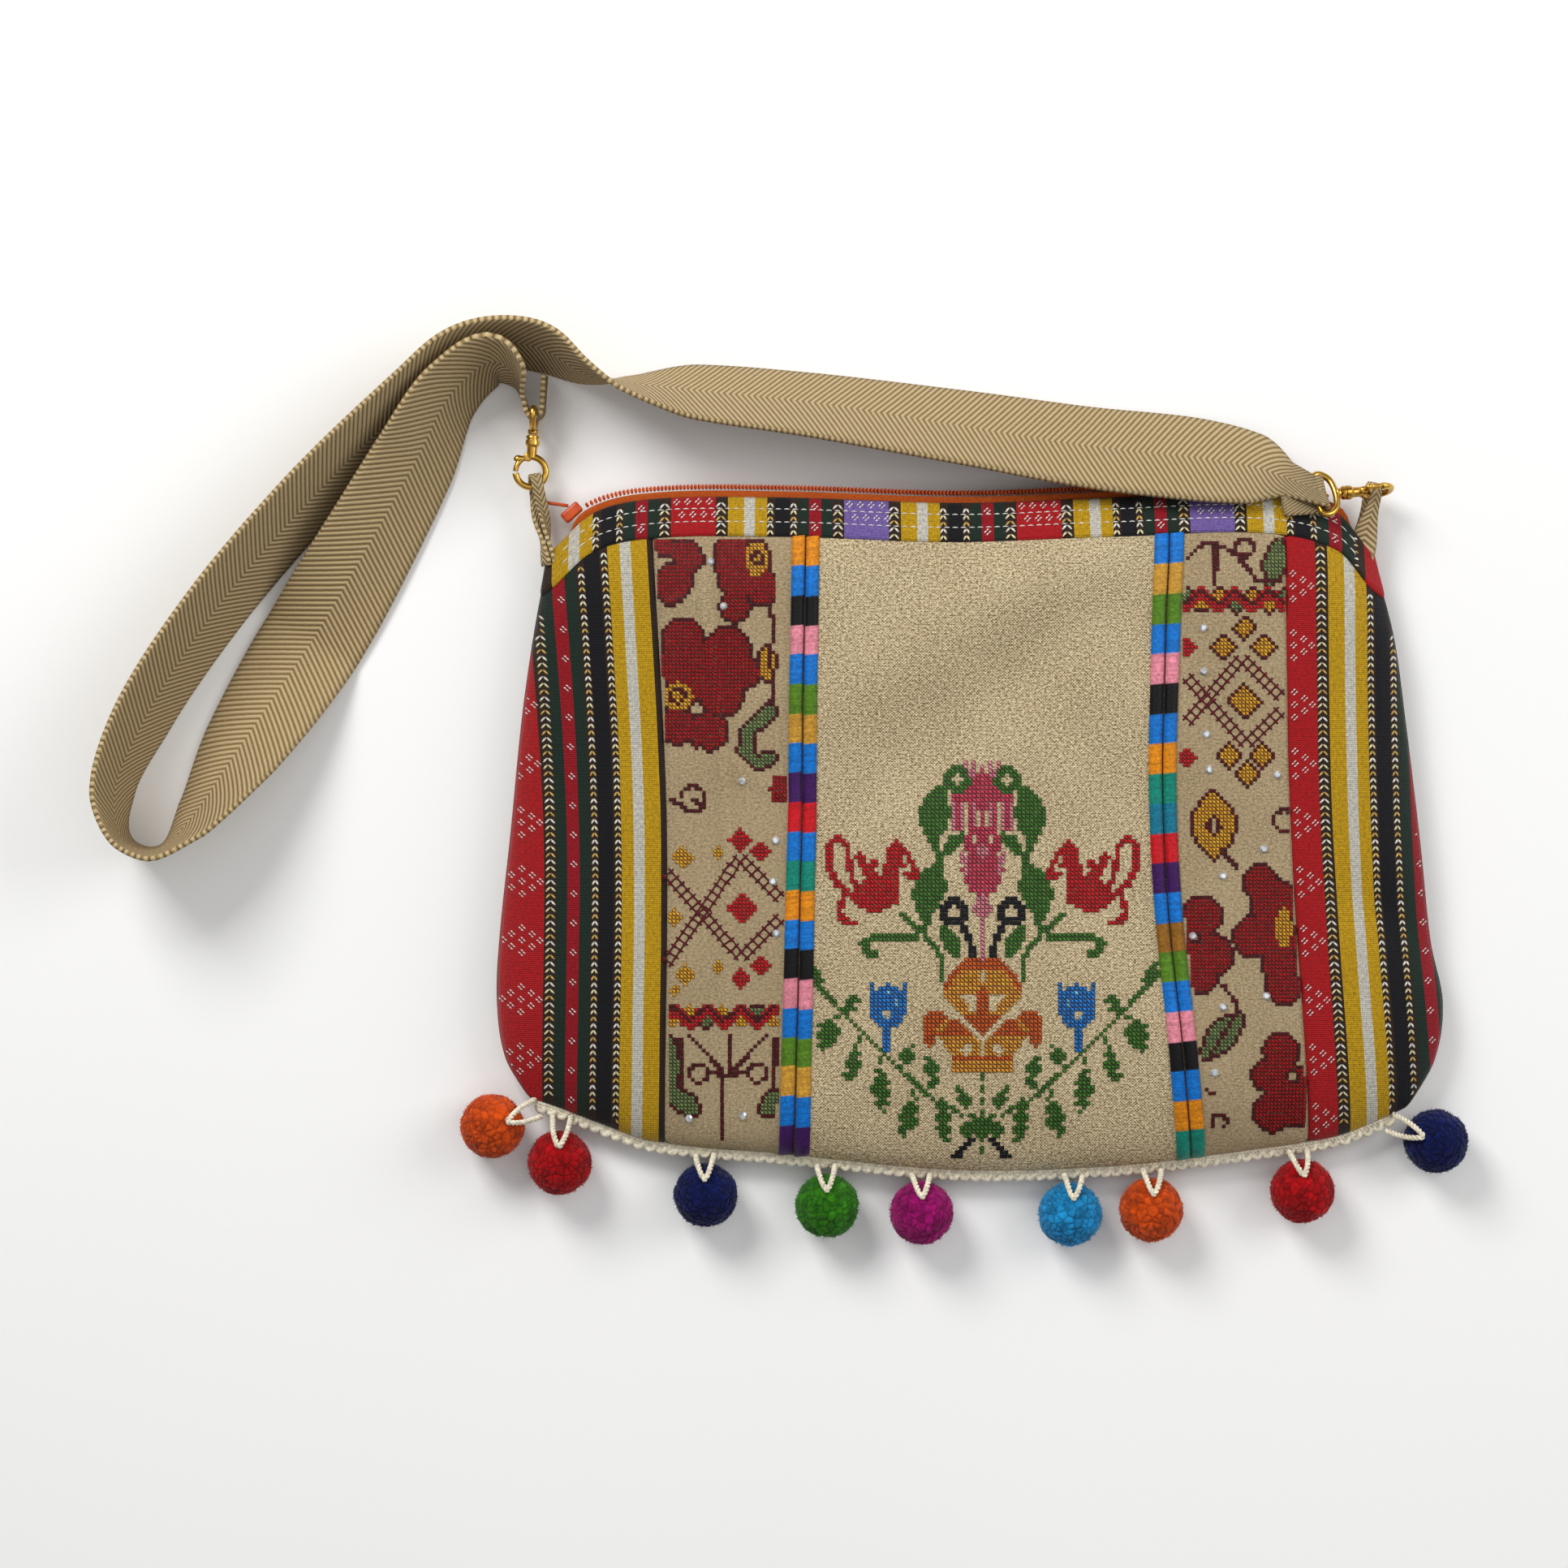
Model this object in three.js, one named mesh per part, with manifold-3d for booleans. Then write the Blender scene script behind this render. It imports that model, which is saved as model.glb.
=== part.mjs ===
// Embroidered folk bag with a zip, a webbing strap on two trigger hooks and a pompom hem.
// It lies on its back: millimetres, +Z up through the front, +X to the right, +Y towards the zip.
import * as THREE from 'three';
import { mergeVertices } from 'three/addons/utils/BufferGeometryUtils.js';
import Module from 'manifold-3d';

const wasm = await Module();
wasm.setup();

// Driving dimensions.
const GAP = 0.3;
const CLOTH = 1.6;
const SEAM_Z = 8.5;
const BAND_SHARE = 0.94;
const FULLNESS = 17.5;
const ZIP_SHARE = 0.26;
const HEM_ROUND = 0.3;
const TOP_ROUND = 0.16;
const BACK_CURL = 16;
const BAND_HEIGHT = 14.5;
const BAND_LIFT = 0.9;
const CORD_HEIGHT = 3.8;

const ZIP_BOTTOM = 5.4;
const ZIP_TOP = 12.4;
const ZIP_TAPE = 1.1;
const ZIP_OUT = 2.5;
const COIL_WIDTH = 3.2;
const COIL_HEIGHT = 2;
const SLIDER = { along: 8, out: 4.2, tall: 6.4, station: -143.5 };
const PULL = { length: 7.4, tall: 3.6, thick: 1.2, turn: 172 };

const WEBBING = 1.8;
const STRAP_END_WIDTH = 12.4;
const STRAP_TAIL = 13;

const HOOK = { ring: 5.6, wire: 1.25, gateWire: 1, neck: 8, barrel: 2.6, eyeHalf: 8.6, eyeDepth: 9.5 };
const GATE = { from: 95, pivot: 166, heel: 1.7 };

const TRIM = { near: 2.1, out: 3.3, tall: 2.6, scallop: 0.9, pitch: 4, from: -160, to: 156 };
const POMPOM_RADIUS = 12.2;
const LOCK_DEPTH = 0.09;
const LOOP_CORD = 1.1;
const STONE = { radius: 1.5, table: 0.9, height: 2.2, sides: 8 };

// Side edges of the bag, from the hem (rise 0) to the zip (rise 1).
const SIDES = [
  { rise: 0.0, left: -163, right: 162 },
  { rise: 0.065, left: -171, right: 171 },
  { rise: 0.17, left: -174, right: 174 },
  { rise: 0.3, left: -173, right: 169.5 },
  { rise: 0.5, left: -169, right: 165.5 },
  { rise: 0.73, left: -164.5, right: 160 },
  { rise: 0.88, left: -160, right: 155.5 },
  { rise: 1.0, left: -155, right: 148 },
];

// Hem and zip line across the bag.
const RIMS = [
  { across: -176, hem: -93, zip: 92 },
  { across: -155, hem: -99, zip: 104 },
  { across: -139, hem: -105, zip: 118 },
  { across: -117, hem: -112.5, zip: 123 },
  { across: -70, hem: -117, zip: 123.5 },
  { across: -4, hem: -123, zip: 121.5 },
  { across: 54, hem: -121.5, zip: 123.5 },
  { across: 105, hem: -115.5, zip: 125 },
  { across: 134, hem: -111, zip: 119 },
  { across: 148, hem: -106, zip: 104 },
  { across: 176, hem: -93, zip: 88 },
];

// Seams between the front strips.
const SEAMS = [
  {
    rise: 0.0, stripeLeft: -113, flowerLeft: -71, cordsLeft: -59,
    cordsRight: 76, flowerRight: 87, stripeRight: 125,
  },
  {
    rise: 0.5, stripeLeft: -112, flowerLeft: -68, cordsLeft: -57,
    cordsRight: 65, flowerRight: 75.5, stripeRight: 117,
  },
  {
    rise: 1.0, stripeLeft: -118, flowerLeft: -66, cordsLeft: -55.5,
    cordsRight: 67.5, flowerRight: 79, stripeRight: 115,
  },
];

// Soft folds of the front: a ridge or hollow along a line, fading out across its width.
const FOLDS = [
  { name: 'panel ridge', fromX: 58, fromY: 112, toX: -62, toY: 44, width: 17, lift: 3.2 },
  { name: 'panel hollow', fromX: 66, fromY: 96, toX: -52, toY: 2, width: 15, lift: -3.8 },
  { name: 'left seam hollow', fromX: -92, fromY: 96, toX: -90, toY: -40, width: 9, lift: -1.4 },
  { name: 'right side dent', fromX: 176, fromY: -38, toX: 132, toY: -20, width: 11, lift: -3 },
  { name: 'left hem hollow', fromX: -45, fromY: -55, toX: -112, toY: -104, width: 22, lift: -2.6 },
  { name: 'right hem swell', fromX: 36, fromY: -48, toX: 98, toY: -104, width: 24, lift: 2.2 },
];

// The strap from the left hook, over its peak, down to the bend on edge, back up and on to the right hook.
// Roll 0 lies flat, 90 stands on edge, and over 90 leans to the other side; lift is the lower edge's height.
const STRAP_ROUTE = [
  { x: -165.8, y: 162.5, lift: 0.6, roll: -88, width: 19 },
  { x: -167.2, y: 169.5, lift: 0.3, roll: -78, width: 33 },
  { x: -176.2, y: 175.4, lift: 0.3, roll: -67, width: 38 },
  { x: -192, y: 163.6, lift: 0.3, roll: -60, width: 38 },
  { x: -205.9, y: 138, lift: 0.3, roll: -42, width: 38 },
  { x: -227.4, y: 100.3, lift: 0.3, roll: -24, width: 38 },
  { x: -250.6, y: 62.6, lift: 0.3, roll: 8, width: 38 },
  { x: -270.9, y: 30.7, lift: 0.3, roll: 36, width: 38 },
  { x: -287.5, y: 5.2, lift: 0.3, roll: 64, width: 38 },
  { x: -300.5, y: -6.8, lift: 0.3, roll: 84, width: 38 },
  { x: -313, y: -2.5, lift: 0.3, roll: 88, width: 38 },
  { x: -316.5, y: 15, lift: 0.3, roll: 76, width: 38 },
  { x: -305.5, y: 43, lift: 0.3, roll: 65, width: 38 },
  { x: -278.6, y: 84.1, lift: 0.3, roll: 62, width: 38 },
  { x: -244.8, y: 123.5, lift: 0.3, roll: 62, width: 38 },
  { x: -207, y: 161.2, lift: 0.3, roll: 65, width: 38 },
  { x: -189.5, y: 177.6, lift: 0.3, roll: 68, width: 38 },
  { x: -174.6, y: 182.2, lift: 0.3, roll: 69, width: 38 },
  { x: -157.8, y: 179.6, lift: 0.3, roll: 68, width: 38 },
  { x: -143.3, y: 171.3, lift: 0.3, roll: 80, width: 38 },
  { x: -128.8, y: 166.5, lift: 0.3, roll: 100, width: 38 },
  { x: -102.7, y: 163.6, lift: 0.3, roll: 124, width: 38 },
  { x: -58, y: 158.9, lift: 0.3, roll: 131, width: 38 },
  { x: -4.1, y: 150.8, lift: 0.3, roll: 138, width: 38 },
  { x: 42.3, y: 143.5, lift: 1.2, roll: 144, width: 38 },
  { x: 84, y: 138.8, lift: 3, roll: 146, width: 38 },
  { x: 106, y: 135, lift: 6.5, roll: 148, width: 31 },
  { x: 117.5, y: 131.2, lift: 10.8, roll: 152, width: 14.5 },
];

// Where the hooks sit: the neck's start, the axis towards the ring, and which way the lever points.
const HOOKS = {
  left: { x: -162, y: 148, z: 10.6, axis: [-0.06, -1, 0], lever: [-1, 0, 0.1], eyeUp: [0, 0, 1] },
  right: {
    x: 136.8, y: 126.2, z: 16.4,
    axis: [0.965, 0.08, -0.22], lever: [0.2, 0.25, 0.94], eyeUp: [0, -0.88, 0.47],
  },
};

// Hanging tabs: the seat at the bag's corner, and how the loop sits on its hook's ring.
const TAB = { thick: 1.5, seatWidth: 15, foldWidth: 4.2, seatHalf: 1.05 };

const POMPOMS = [
  { x: -177, y: -108, colour: 0xd74b0f, foot: -159 },
  { x: -152, y: -121.5, colour: 0xb9050f, foot: -150 },
  { x: -98, y: -133.5, colour: 0x0a194b, foot: -98 },
  { x: -53, y: -137.5, colour: 0x2d7d14, foot: -53 },
  { x: -18, y: -140, colour: 0xa50f6e, foot: -18 },
  { x: 37, y: -140.5, colour: 0x1e91cd, foot: 38 },
  { x: 67, y: -139, colour: 0xd74b0f, foot: 67 },
  { x: 123, y: -132, colour: 0xb9050f, foot: 121 },
  { x: 172.5, y: -113.5, colour: 0x0a194b, foot: 154 },
];

// Rhinestones on the two flowered strips.
const STONES = {
  left: [
    { x: -96, y: 100 }, { x: -91, y: 84 }, { x: -84, y: 20 }, { x: -72, y: -2 }, { x: -73, y: -17 },
    { x: -72, y: -36 }, { x: -104, y: -104 }, { x: -84, y: -103 },
  ],
  right: [
    { x: 85, y: 76 }, { x: 85, y: 60 }, { x: 86, y: 37 }, { x: 87, y: 24 }, { x: 112, y: 22 },
    { x: 107, y: -5 }, { x: 92, y: -15 }, { x: 81, y: -37 }, { x: 108, y: -59 }, { x: 92, y: -63 },
    { x: 89, y: -87 },
  ],
};

const MATERIALS = {
  linen: { color: 0xc8b68e, roughness: 0.95, metalness: 0 },
  flowered: { color: 0xb29e78, roughness: 0.95, metalness: 0 },
  jute: { color: 0xafa591, roughness: 1, metalness: 0 },
  striped: { color: 0xaa1023, roughness: 0.85, metalness: 0 },
  cord: { color: 0x0a78d2, roughness: 0.6, metalness: 0 },
  zip: { color: 0xe15f14, roughness: 0.5, metalness: 0 },
  webbing: { color: 0xc4ac80, roughness: 0.9, metalness: 0 },
  gold: { color: 0xbe963c, roughness: 0.3, metalness: 1 },
  cream: { color: 0xebe1cd, roughness: 0.9, metalness: 0 },
};

const bag = new THREE.Group();

// Small helpers on numbers and tables.
const lerp = THREE.MathUtils.lerp;
const clamp = THREE.MathUtils.clamp;
const radians = THREE.MathUtils.degToRad;
const vec = (x, y, z) => new THREE.Vector3(x, y, z);
const times = (count, make) => Array.from({ length: count }, (_, i) => make(i));

// Smooth value of one column of a table at a place along its key column.
function along(rows, key, column, at) {
  const last = rows.length - 1;
  const place = clamp(at, rows[0][key], rows[last][key]);
  const i = Math.min(rows.findIndex((row, k) => k === last || place <= rows[k + 1][key]), last - 1);
  const slope = (k) => {
    const a = rows[Math.max(k - 1, 0)];
    const b = rows[Math.min(k + 1, last)];
    return (b[column] - a[column]) / (b[key] - a[key]);
  };
  const span = rows[i + 1][key] - rows[i][key];
  const t = (place - rows[i][key]) / span;
  const [t2, t3] = [t * t, t * t * t];
  return (2 * t3 - 3 * t2 + 1) * rows[i][column] + (t3 - 2 * t2 + t) * span * slope(i)
    + (3 * t2 - 2 * t3) * rows[i + 1][column] + (t3 - t2) * span * slope(i + 1);
}

const sideAt = (side, rise) => along(SIDES, 'rise', side, rise);
const seamAt = (seam, rise) => along(SEAMS, 'rise', seam, rise);
const hemAt = (x) => along(RIMS, 'across', 'hem', x);
const zipAt = (x) => along(RIMS, 'across', 'zip', x);
const bandRise = (x) => 1 - BAND_HEIGHT / (zipAt(x) - hemAt(x));
const gapRise = (x) => GAP / (zipAt(x) - hemAt(x));

// Closed solid through rings of points: sides between the rings and a strip of triangles over each end.
function skin(rings, loop = false) {
  const size = rings[0].length;
  const points = rings.flat();
  const faces = [];
  const spans = loop ? rings.length : rings.length - 1;
  for (let i = 0; i < spans; i++) {
    const next = (i + 1) % rings.length;
    for (let j = 0; j < size; j++) {
      const [a, b] = [i * size + j, i * size + ((j + 1) % size)];
      const [c, d] = [next * size + ((j + 1) % size), next * size + j];
      faces.push(a, b, c, a, c, d);
    }
  }
  if (!loop) {
    const cap = (start, flip) => {
      for (let j = 0; j < size / 2 - 1; j++) {
        const [a, b, c, d] = [j, j + 1, size - 2 - j, size - 1 - j].map((k) => start + k);
        const pair = b === c ? [[a, d, b]] : [[a, d, c], [a, c, b]];
        for (const face of pair) faces.push(...(flip ? face.reverse() : face));
      }
    };
    cap(0, false);
    cap((rings.length - 1) * size, true);
  }
  const geometry = new THREE.BufferGeometry().setFromPoints(points).setIndex(faces);
  return volumeOf(geometry) < 0 ? flipped(geometry) : geometry;
}

function volumeOf(geometry) {
  const { position } = geometry.attributes;
  const at = (k) => vec(0, 0, 0).fromBufferAttribute(position, geometry.index.getX(k));
  let sum = 0;
  for (let k = 0; k < geometry.index.count; k += 3) sum += at(k).dot(at(k + 1).cross(at(k + 2)));
  return sum / 6;
}

function flipped(geometry) {
  const index = geometry.index.array;
  for (let k = 0; k < index.length; k += 3) [index[k + 1], index[k + 2]] = [index[k + 2], index[k + 1]];
  return geometry;
}

function solidOf(geometry) {
  const bare = geometry.clone().deleteAttribute('normal').deleteAttribute('uv');
  const merged = mergeVertices(bare, 1e-4);
  return new wasm.Manifold(new wasm.Mesh({
    numProp: 3,
    vertProperties: merged.attributes.position.array,
    triVerts: new Uint32Array(merged.index.array),
  }));
}

function geometryOf(solid) {
  const mesh = solid.getMesh();
  return new THREE.BufferGeometry()
    .setAttribute('position', new THREE.BufferAttribute(mesh.vertProperties, 3))
    .setIndex(new THREE.BufferAttribute(mesh.triVerts, 1));
}

function addPart(name, geometry, finish, parent = bag) {
  geometry.computeVertexNormals();
  const mesh = new THREE.Mesh(geometry, new THREE.MeshStandardMaterial(finish));
  mesh.name = name;
  parent.add(mesh);
}

// Front surface of the bag, its inner face, at a place across and a rise from hem to zip.
function frontPoint(x, rise) {
  const [left, right] = [sideAt('left', rise), sideAt('right', rise)];
  const off = clamp(Math.abs(2 * x - left - right) / (right - left), 0, 1);
  const across = Math.sqrt(1 - off ** 6);
  const fromHem = clamp(1 - rise / HEM_ROUND, 0, 1);
  const fromZip = clamp(1 - (1 - rise) / TOP_ROUND, 0, 1);
  const height = Math.sqrt(1 - fromHem ** 2.6) * lerp(1, ZIP_SHARE, fromZip ** 2.2);
  const y = lerp(hemAt(x), zipAt(x), rise);
  const fade = across * Math.sqrt(1 - fromHem ** 2.6) * (1 - fromZip ** 2);
  const folds = FOLDS.reduce((sum, fold) => sum + foldAt(fold, x, y), 0);
  return vec(x, y, SEAM_Z + FULLNESS * across * height + folds * fade);
}

function foldAt(fold, x, y) {
  const run = new THREE.Vector2(fold.toX - fold.fromX, fold.toY - fold.fromY);
  const spot = new THREE.Vector2(x - fold.fromX, y - fold.fromY);
  const share = spot.dot(run) / run.lengthSq();
  const side = spot.cross(run) / run.length() / fold.width;
  const ends = Math.exp(-(((share - 0.5) / 0.5) ** 4));
  return fold.lift * ends * Math.exp(-side * side);
}

// Back surface of the bag, its outer face: flat on the floor, with its rim curled up to the seam.
function backPoint(x, rise) {
  const y = lerp(hemAt(x), zipAt(x), rise);
  const inside = Math.min(
    x - sideAt('left', rise), sideAt('right', rise) - x, y - hemAt(x), zipAt(x) - y,
  );
  const curl = clamp(1 - inside / BACK_CURL, 0, 1);
  return vec(x, y, (SEAM_Z - CLOTH - GAP) * curl ** 2);
}

function surfaceNormal(surface, x, rise) {
  const [dx, dr] = [0.4, 0.002];
  const a = surface(x + dx, rise).sub(surface(x - dx, rise));
  const b = surface(x, Math.min(rise + dr, 1)).sub(surface(x, Math.max(rise - dr, 0)));
  return a.cross(b).normalize();
}

// Cloth wall over a surface: each row is a ring of its outer points and then its inner points.
function cloth(surface, rows, columns, place, low, high) {
  const rings = times(rows + 1, (i) => {
    const spots = times(columns + 1, (j) => place(i / rows, j / columns));
    const lift = (spot, by) => {
      const normal = surfaceNormal(surface, spot.x, spot.rise);
      return surface(spot.x, spot.rise).addScaledVector(normal, by);
    };
    return [...spots.map((spot) => lift(spot, high)), ...spots.reverse().map((spot) => lift(spot, low))];
  });
  return skin(rings);
}

const ease = {
  even: (u) => u,
  left: (u) => u ** 1.7,
  right: (u) => 1 - (1 - u) ** 1.7,
  both: (u) => lerp(u, (1 - Math.cos(Math.PI * u)) / 2, 0.75),
};

// A strip of the front between two seams, from the hem to the band.
function frontStrip(leftAt, rightAt, columns, spread) {
  const place = (v, u) => {
    const rise = ease.both(v) * BAND_SHARE;
    const x = lerp(leftAt(rise) + GAP / 2, rightAt(rise) - GAP / 2, ease[spread](u));
    return { x, rise: ease.both(v) * (bandRise(x) - gapRise(x)) };
  };
  return cloth(frontPoint, 13, columns, place, 0, CLOTH);
}

// Rhinestone: a low cut stone with a table, its girdle sunk a little into the cloth.
function stoneSolid(spot) {
  const rise = (spot.y - hemAt(spot.x)) / (zipAt(spot.x) - hemAt(spot.x));
  const normal = surfaceNormal(frontPoint, spot.x, rise);
  const stone = new THREE.CylinderGeometry(STONE.table, STONE.radius, STONE.height, STONE.sides);
  stone.applyQuaternion(new THREE.Quaternion().setFromUnitVectors(vec(0, 1, 0), normal));
  const seat = frontPoint(spot.x, rise).addScaledVector(normal, CLOTH);
  return solidOf(stone.translate(seat.x, seat.y, seat.z));
}

function frontStrips() {
  const seam = (name) => (rise) => seamAt(name, rise);
  const side = (name) => (rise) => sideAt(name, rise);
  const striped = {
    left: frontStrip(side('left'), seam('stripeLeft'), 6, 'left'),
    right: frontStrip(seam('stripeRight'), side('right'), 6, 'right'),
  };
  for (const [name, strip] of Object.entries(striped)) {
    addPart(`striped_strip_${name}`, strip, MATERIALS.striped);
  }
  addPart('linen_panel', frontStrip(seam('cordsLeft'), seam('cordsRight'), 10, 'even'), MATERIALS.linen);
  const flowered = {
    left: frontStrip(seam('stripeLeft'), seam('flowerLeft'), 4, 'even'),
    right: frontStrip(seam('flowerRight'), seam('stripeRight'), 4, 'even'),
  };
  for (const [name, strip] of Object.entries(flowered)) {
    const solid = STONES[name].reduce((whole, spot) => whole.add(stoneSolid(spot)), solidOf(strip));
    addPart(`flowered_strip_${name}`, geometryOf(solid), MATERIALS.flowered);
  }
}

// Two thread-wound cords laid side by side in each gap beside the linen panel.
function woundCords() {
  const columns = { left: ['flowerLeft', 'cordsLeft'], right: ['cordsRight', 'flowerRight'] };
  for (const [side, [from, to]] of Object.entries(columns)) {
    for (const half of [0, 1]) {
      const rings = times(15, (i) => {
        const v = ease.both(i / 14);
        const [a, b] = [seamAt(from, v * BAND_SHARE), seamAt(to, v * BAND_SHARE)];
        const x = lerp(a, b, 0.25 + half / 2);
        const rise = v * (bandRise(x) - 3 * gapRise(x));
        const normal = surfaceNormal(frontPoint, x, rise);
        const centre = frontPoint(x, rise).addScaledVector(normal, CORD_HEIGHT * 0.42);
        return times(8, (k) => {
          const turn = (2 * Math.PI * (k + 0.5)) / 8;
          const wide = (b - a) / 4 - GAP / 2;
          return centre.clone().add(vec(Math.cos(turn) * wide, 0, Math.sin(turn) * CORD_HEIGHT / 2));
        });
      });
      addPart(`wound_cord_${side}_${half + 1}`, skin(rings), MATERIALS.cord);
    }
  }
}

// Striped bands along the zip, front and back, and the coarse back panel below the back band.
function bandsAndBack() {
  const bandPlace = (v, u) => {
    const rise = lerp(BAND_SHARE, 1, v);
    const x = lerp(sideAt('left', rise) + GAP, sideAt('right', rise) - GAP, ease.both(u));
    return { x, rise: lerp(bandRise(x), 1, v) };
  };
  const backPlace = (v, u) => {
    const rise = ease.both(v) * BAND_SHARE;
    const x = lerp(sideAt('left', rise), sideAt('right', rise), ease.both(u));
    return { x, rise: ease.both(v) * (bandRise(x) - 4 * gapRise(x)) };
  };
  const frontBand = cloth(frontPoint, 3, 26, bandPlace, BAND_LIFT, BAND_LIFT + CLOTH);
  addPart('top_band_front', frontBand, MATERIALS.striped);
  addPart('top_band_back', cloth(backPoint, 3, 26, bandPlace, 0, CLOTH), MATERIALS.striped);
  addPart('back_panel', cloth(backPoint, 11, 15, backPlace, 0, CLOTH), MATERIALS.jute);
}

// The zip line as seen from above, with the way out of the bag at each place.
function zipFrame(x) {
  const run = vec(1, (zipAt(x + 0.5) - zipAt(x - 0.5)), 0).normalize();
  return { spot: vec(x, zipAt(x), 0), out: vec(-run.y, run.x, 0), run };
}

// A bar along the zip between two places, from a section of (out, height) corners.
function zipBar(fromX, toX, steps, section) {
  return skin(times(steps + 1, (i) => {
    const { spot, out } = zipFrame(lerp(fromX, toX, i / steps));
    return section.map(([away, height]) => spot.clone().addScaledVector(out, away).setZ(height));
  }));
}

function zip() {
  const [inner, outer] = [ZIP_OUT, ZIP_OUT + ZIP_TAPE];
  const middle = (ZIP_BOTTOM + ZIP_TOP) / 2;
  const tape = [[inner, ZIP_BOTTOM], [outer, ZIP_BOTTOM], [outer, ZIP_TOP], [inner, ZIP_TOP]];
  const face = outer + 2 * GAP;
  const half = COIL_WIDTH / 2;
  const [shoulder, crown] = [face + COIL_HEIGHT * 0.7, face + COIL_HEIGHT];
  const coil = [
    [face, middle - half], [shoulder, middle - half], [crown, middle - half * 0.4],
    [crown, middle + half * 0.4], [shoulder, middle + half], [face, middle + half],
  ];
  addPart('zip_tape', zipBar(-147, 133, 24, tape), MATERIALS.zip);
  addPart('zip_coil', zipBar(SLIDER.station + SLIDER.along * 0.5, 131, 24, coil), MATERIALS.zip);

  const { spot, out, run } = zipFrame(SLIDER.station);
  const seat = spot.clone().addScaledVector(out, face).setZ(middle);
  const slider = new THREE.Group();
  slider.position.copy(seat);
  slider.quaternion.setFromRotationMatrix(new THREE.Matrix4().makeBasis(run, out, vec(0, 0, 1)));
  const outline = new THREE.Shape();
  outline.moveTo(-SLIDER.along / 2, -SLIDER.tall * 0.36);
  outline.lineTo(SLIDER.along * 0.2, -SLIDER.tall / 2);
  outline.lineTo(SLIDER.along / 2, -SLIDER.tall * 0.3);
  outline.lineTo(SLIDER.along / 2, SLIDER.tall * 0.3);
  outline.lineTo(SLIDER.along * 0.2, SLIDER.tall / 2);
  outline.lineTo(-SLIDER.along / 2, SLIDER.tall * 0.36);
  const body = new THREE.ExtrudeGeometry(outline, { depth: SLIDER.out, bevelEnabled: false });
  body.applyMatrix4(new THREE.Matrix4().makeBasis(vec(1, 0, 0), vec(0, 0, 1), vec(0, -1, 0)));
  body.translate(0, SLIDER.out, 0);
  addPart('zip_slider', body, MATERIALS.zip, slider);
  bag.add(slider);

  const hinge = seat.clone().addScaledVector(out, SLIDER.out + GAP + PULL.tall * 0.3);
  const pull = new THREE.Group();
  pull.position.copy(hinge);
  pull.rotation.z = radians(PULL.turn);
  const blade = new THREE.Shape();
  blade.absarc(0, 0, PULL.tall * 0.3, Math.PI / 2, (3 * Math.PI) / 2);
  blade.lineTo(PULL.length * 0.7, -PULL.tall / 2);
  blade.absarc(PULL.length - PULL.tall / 2, 0, PULL.tall / 2, -Math.PI / 2, Math.PI / 2);
  blade.lineTo(PULL.length * 0.7, PULL.tall / 2);
  const depth = PULL.thick;
  const plate = new THREE.ExtrudeGeometry(blade, { depth, bevelEnabled: false, curveSegments: 6 });
  plate.translate(0, 0, -PULL.thick / 2).rotateX(Math.PI / 2);
  addPart('zip_pull', plate, MATERIALS.zip, pull);
  bag.add(pull);
}

// A flat strip of webbing through stations that hold a centre, a width direction, a width and a thickness.
function ribbon(stations) {
  const rings = stations.map((station, i) => {
    const before = stations[Math.max(i - 1, 0)].centre;
    const after = stations[Math.min(i + 1, stations.length - 1)].centre;
    const run = after.clone().sub(before).normalize();
    const normal = run.cross(station.across).normalize();
    const corner = (w, n) => station.centre.clone()
      .addScaledVector(station.across, (w * station.width) / 2)
      .addScaledVector(normal, (n * station.thick) / 2);
    return [corner(-1, 1), corner(1, 1), corner(1, -1), corner(-1, -1)];
  });
  return skin(rings);
}

function strapRun() {
  const rows = STRAP_ROUTE.map((row, i) => ({ ...row, i }));
  const last = rows.length - 1;
  const route = new THREE.CatmullRomCurve3(rows.map((row) => vec(row.x, row.y, 0)));
  const steps = last * 2;
  return times(steps + 1, (k) => {
    const t = k / steps;
    const at = (column) => along(rows, 'i', column, t * last);
    const run = route.getTangent(t);
    const roll = radians(at('roll'));
    const across = vec(-run.y * Math.cos(roll), run.x * Math.cos(roll), Math.sin(roll));
    const height = at('lift') + WEBBING / 2 + (at('width') / 2) * Math.abs(Math.sin(roll));
    return { centre: route.getPoint(t).setZ(height), across, width: at('width'), thick: WEBBING };
  });
}

// The strap's end turned round the straight bar of a hook's eye and laid back along itself.
function strapFold(bar, away, across, side) {
  const radius = HOOK.wire + GAP + 0.35 + WEBBING / 2;
  const flat = { across, width: STRAP_END_WIDTH, thick: WEBBING };
  const spot = (turn) => bar.clone()
    .addScaledVector(side, radius * Math.cos(turn))
    .addScaledVector(away, -radius * Math.sin(turn));
  const turns = times(9, (k) => ({ ...flat, centre: spot((Math.PI * k) / 8) }));
  const tail = [1, 0.5].map((share) => ({
    ...flat, centre: spot(Math.PI).addScaledVector(away, STRAP_TAIL * share),
  })).reverse();
  return [...turns, ...tail];
}

// Basis of a hook: along its axis, towards its lever, and across its ring.
function hookBasis(hook) {
  const axis = vec(...hook.axis).normalize();
  const across = axis.clone().cross(vec(...hook.lever)).normalize();
  return { axis, lever: across.clone().cross(axis).normalize(), across };
}

const eyeBar = (hook) => vec(hook.x, hook.y, hook.z).addScaledVector(hookBasis(hook).axis, -HOOK.eyeDepth);
const ringCentre = (hook) => vec(hook.x, hook.y, hook.z)
  .addScaledVector(hookBasis(hook).axis, HOOK.neck + HOOK.ring);

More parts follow.
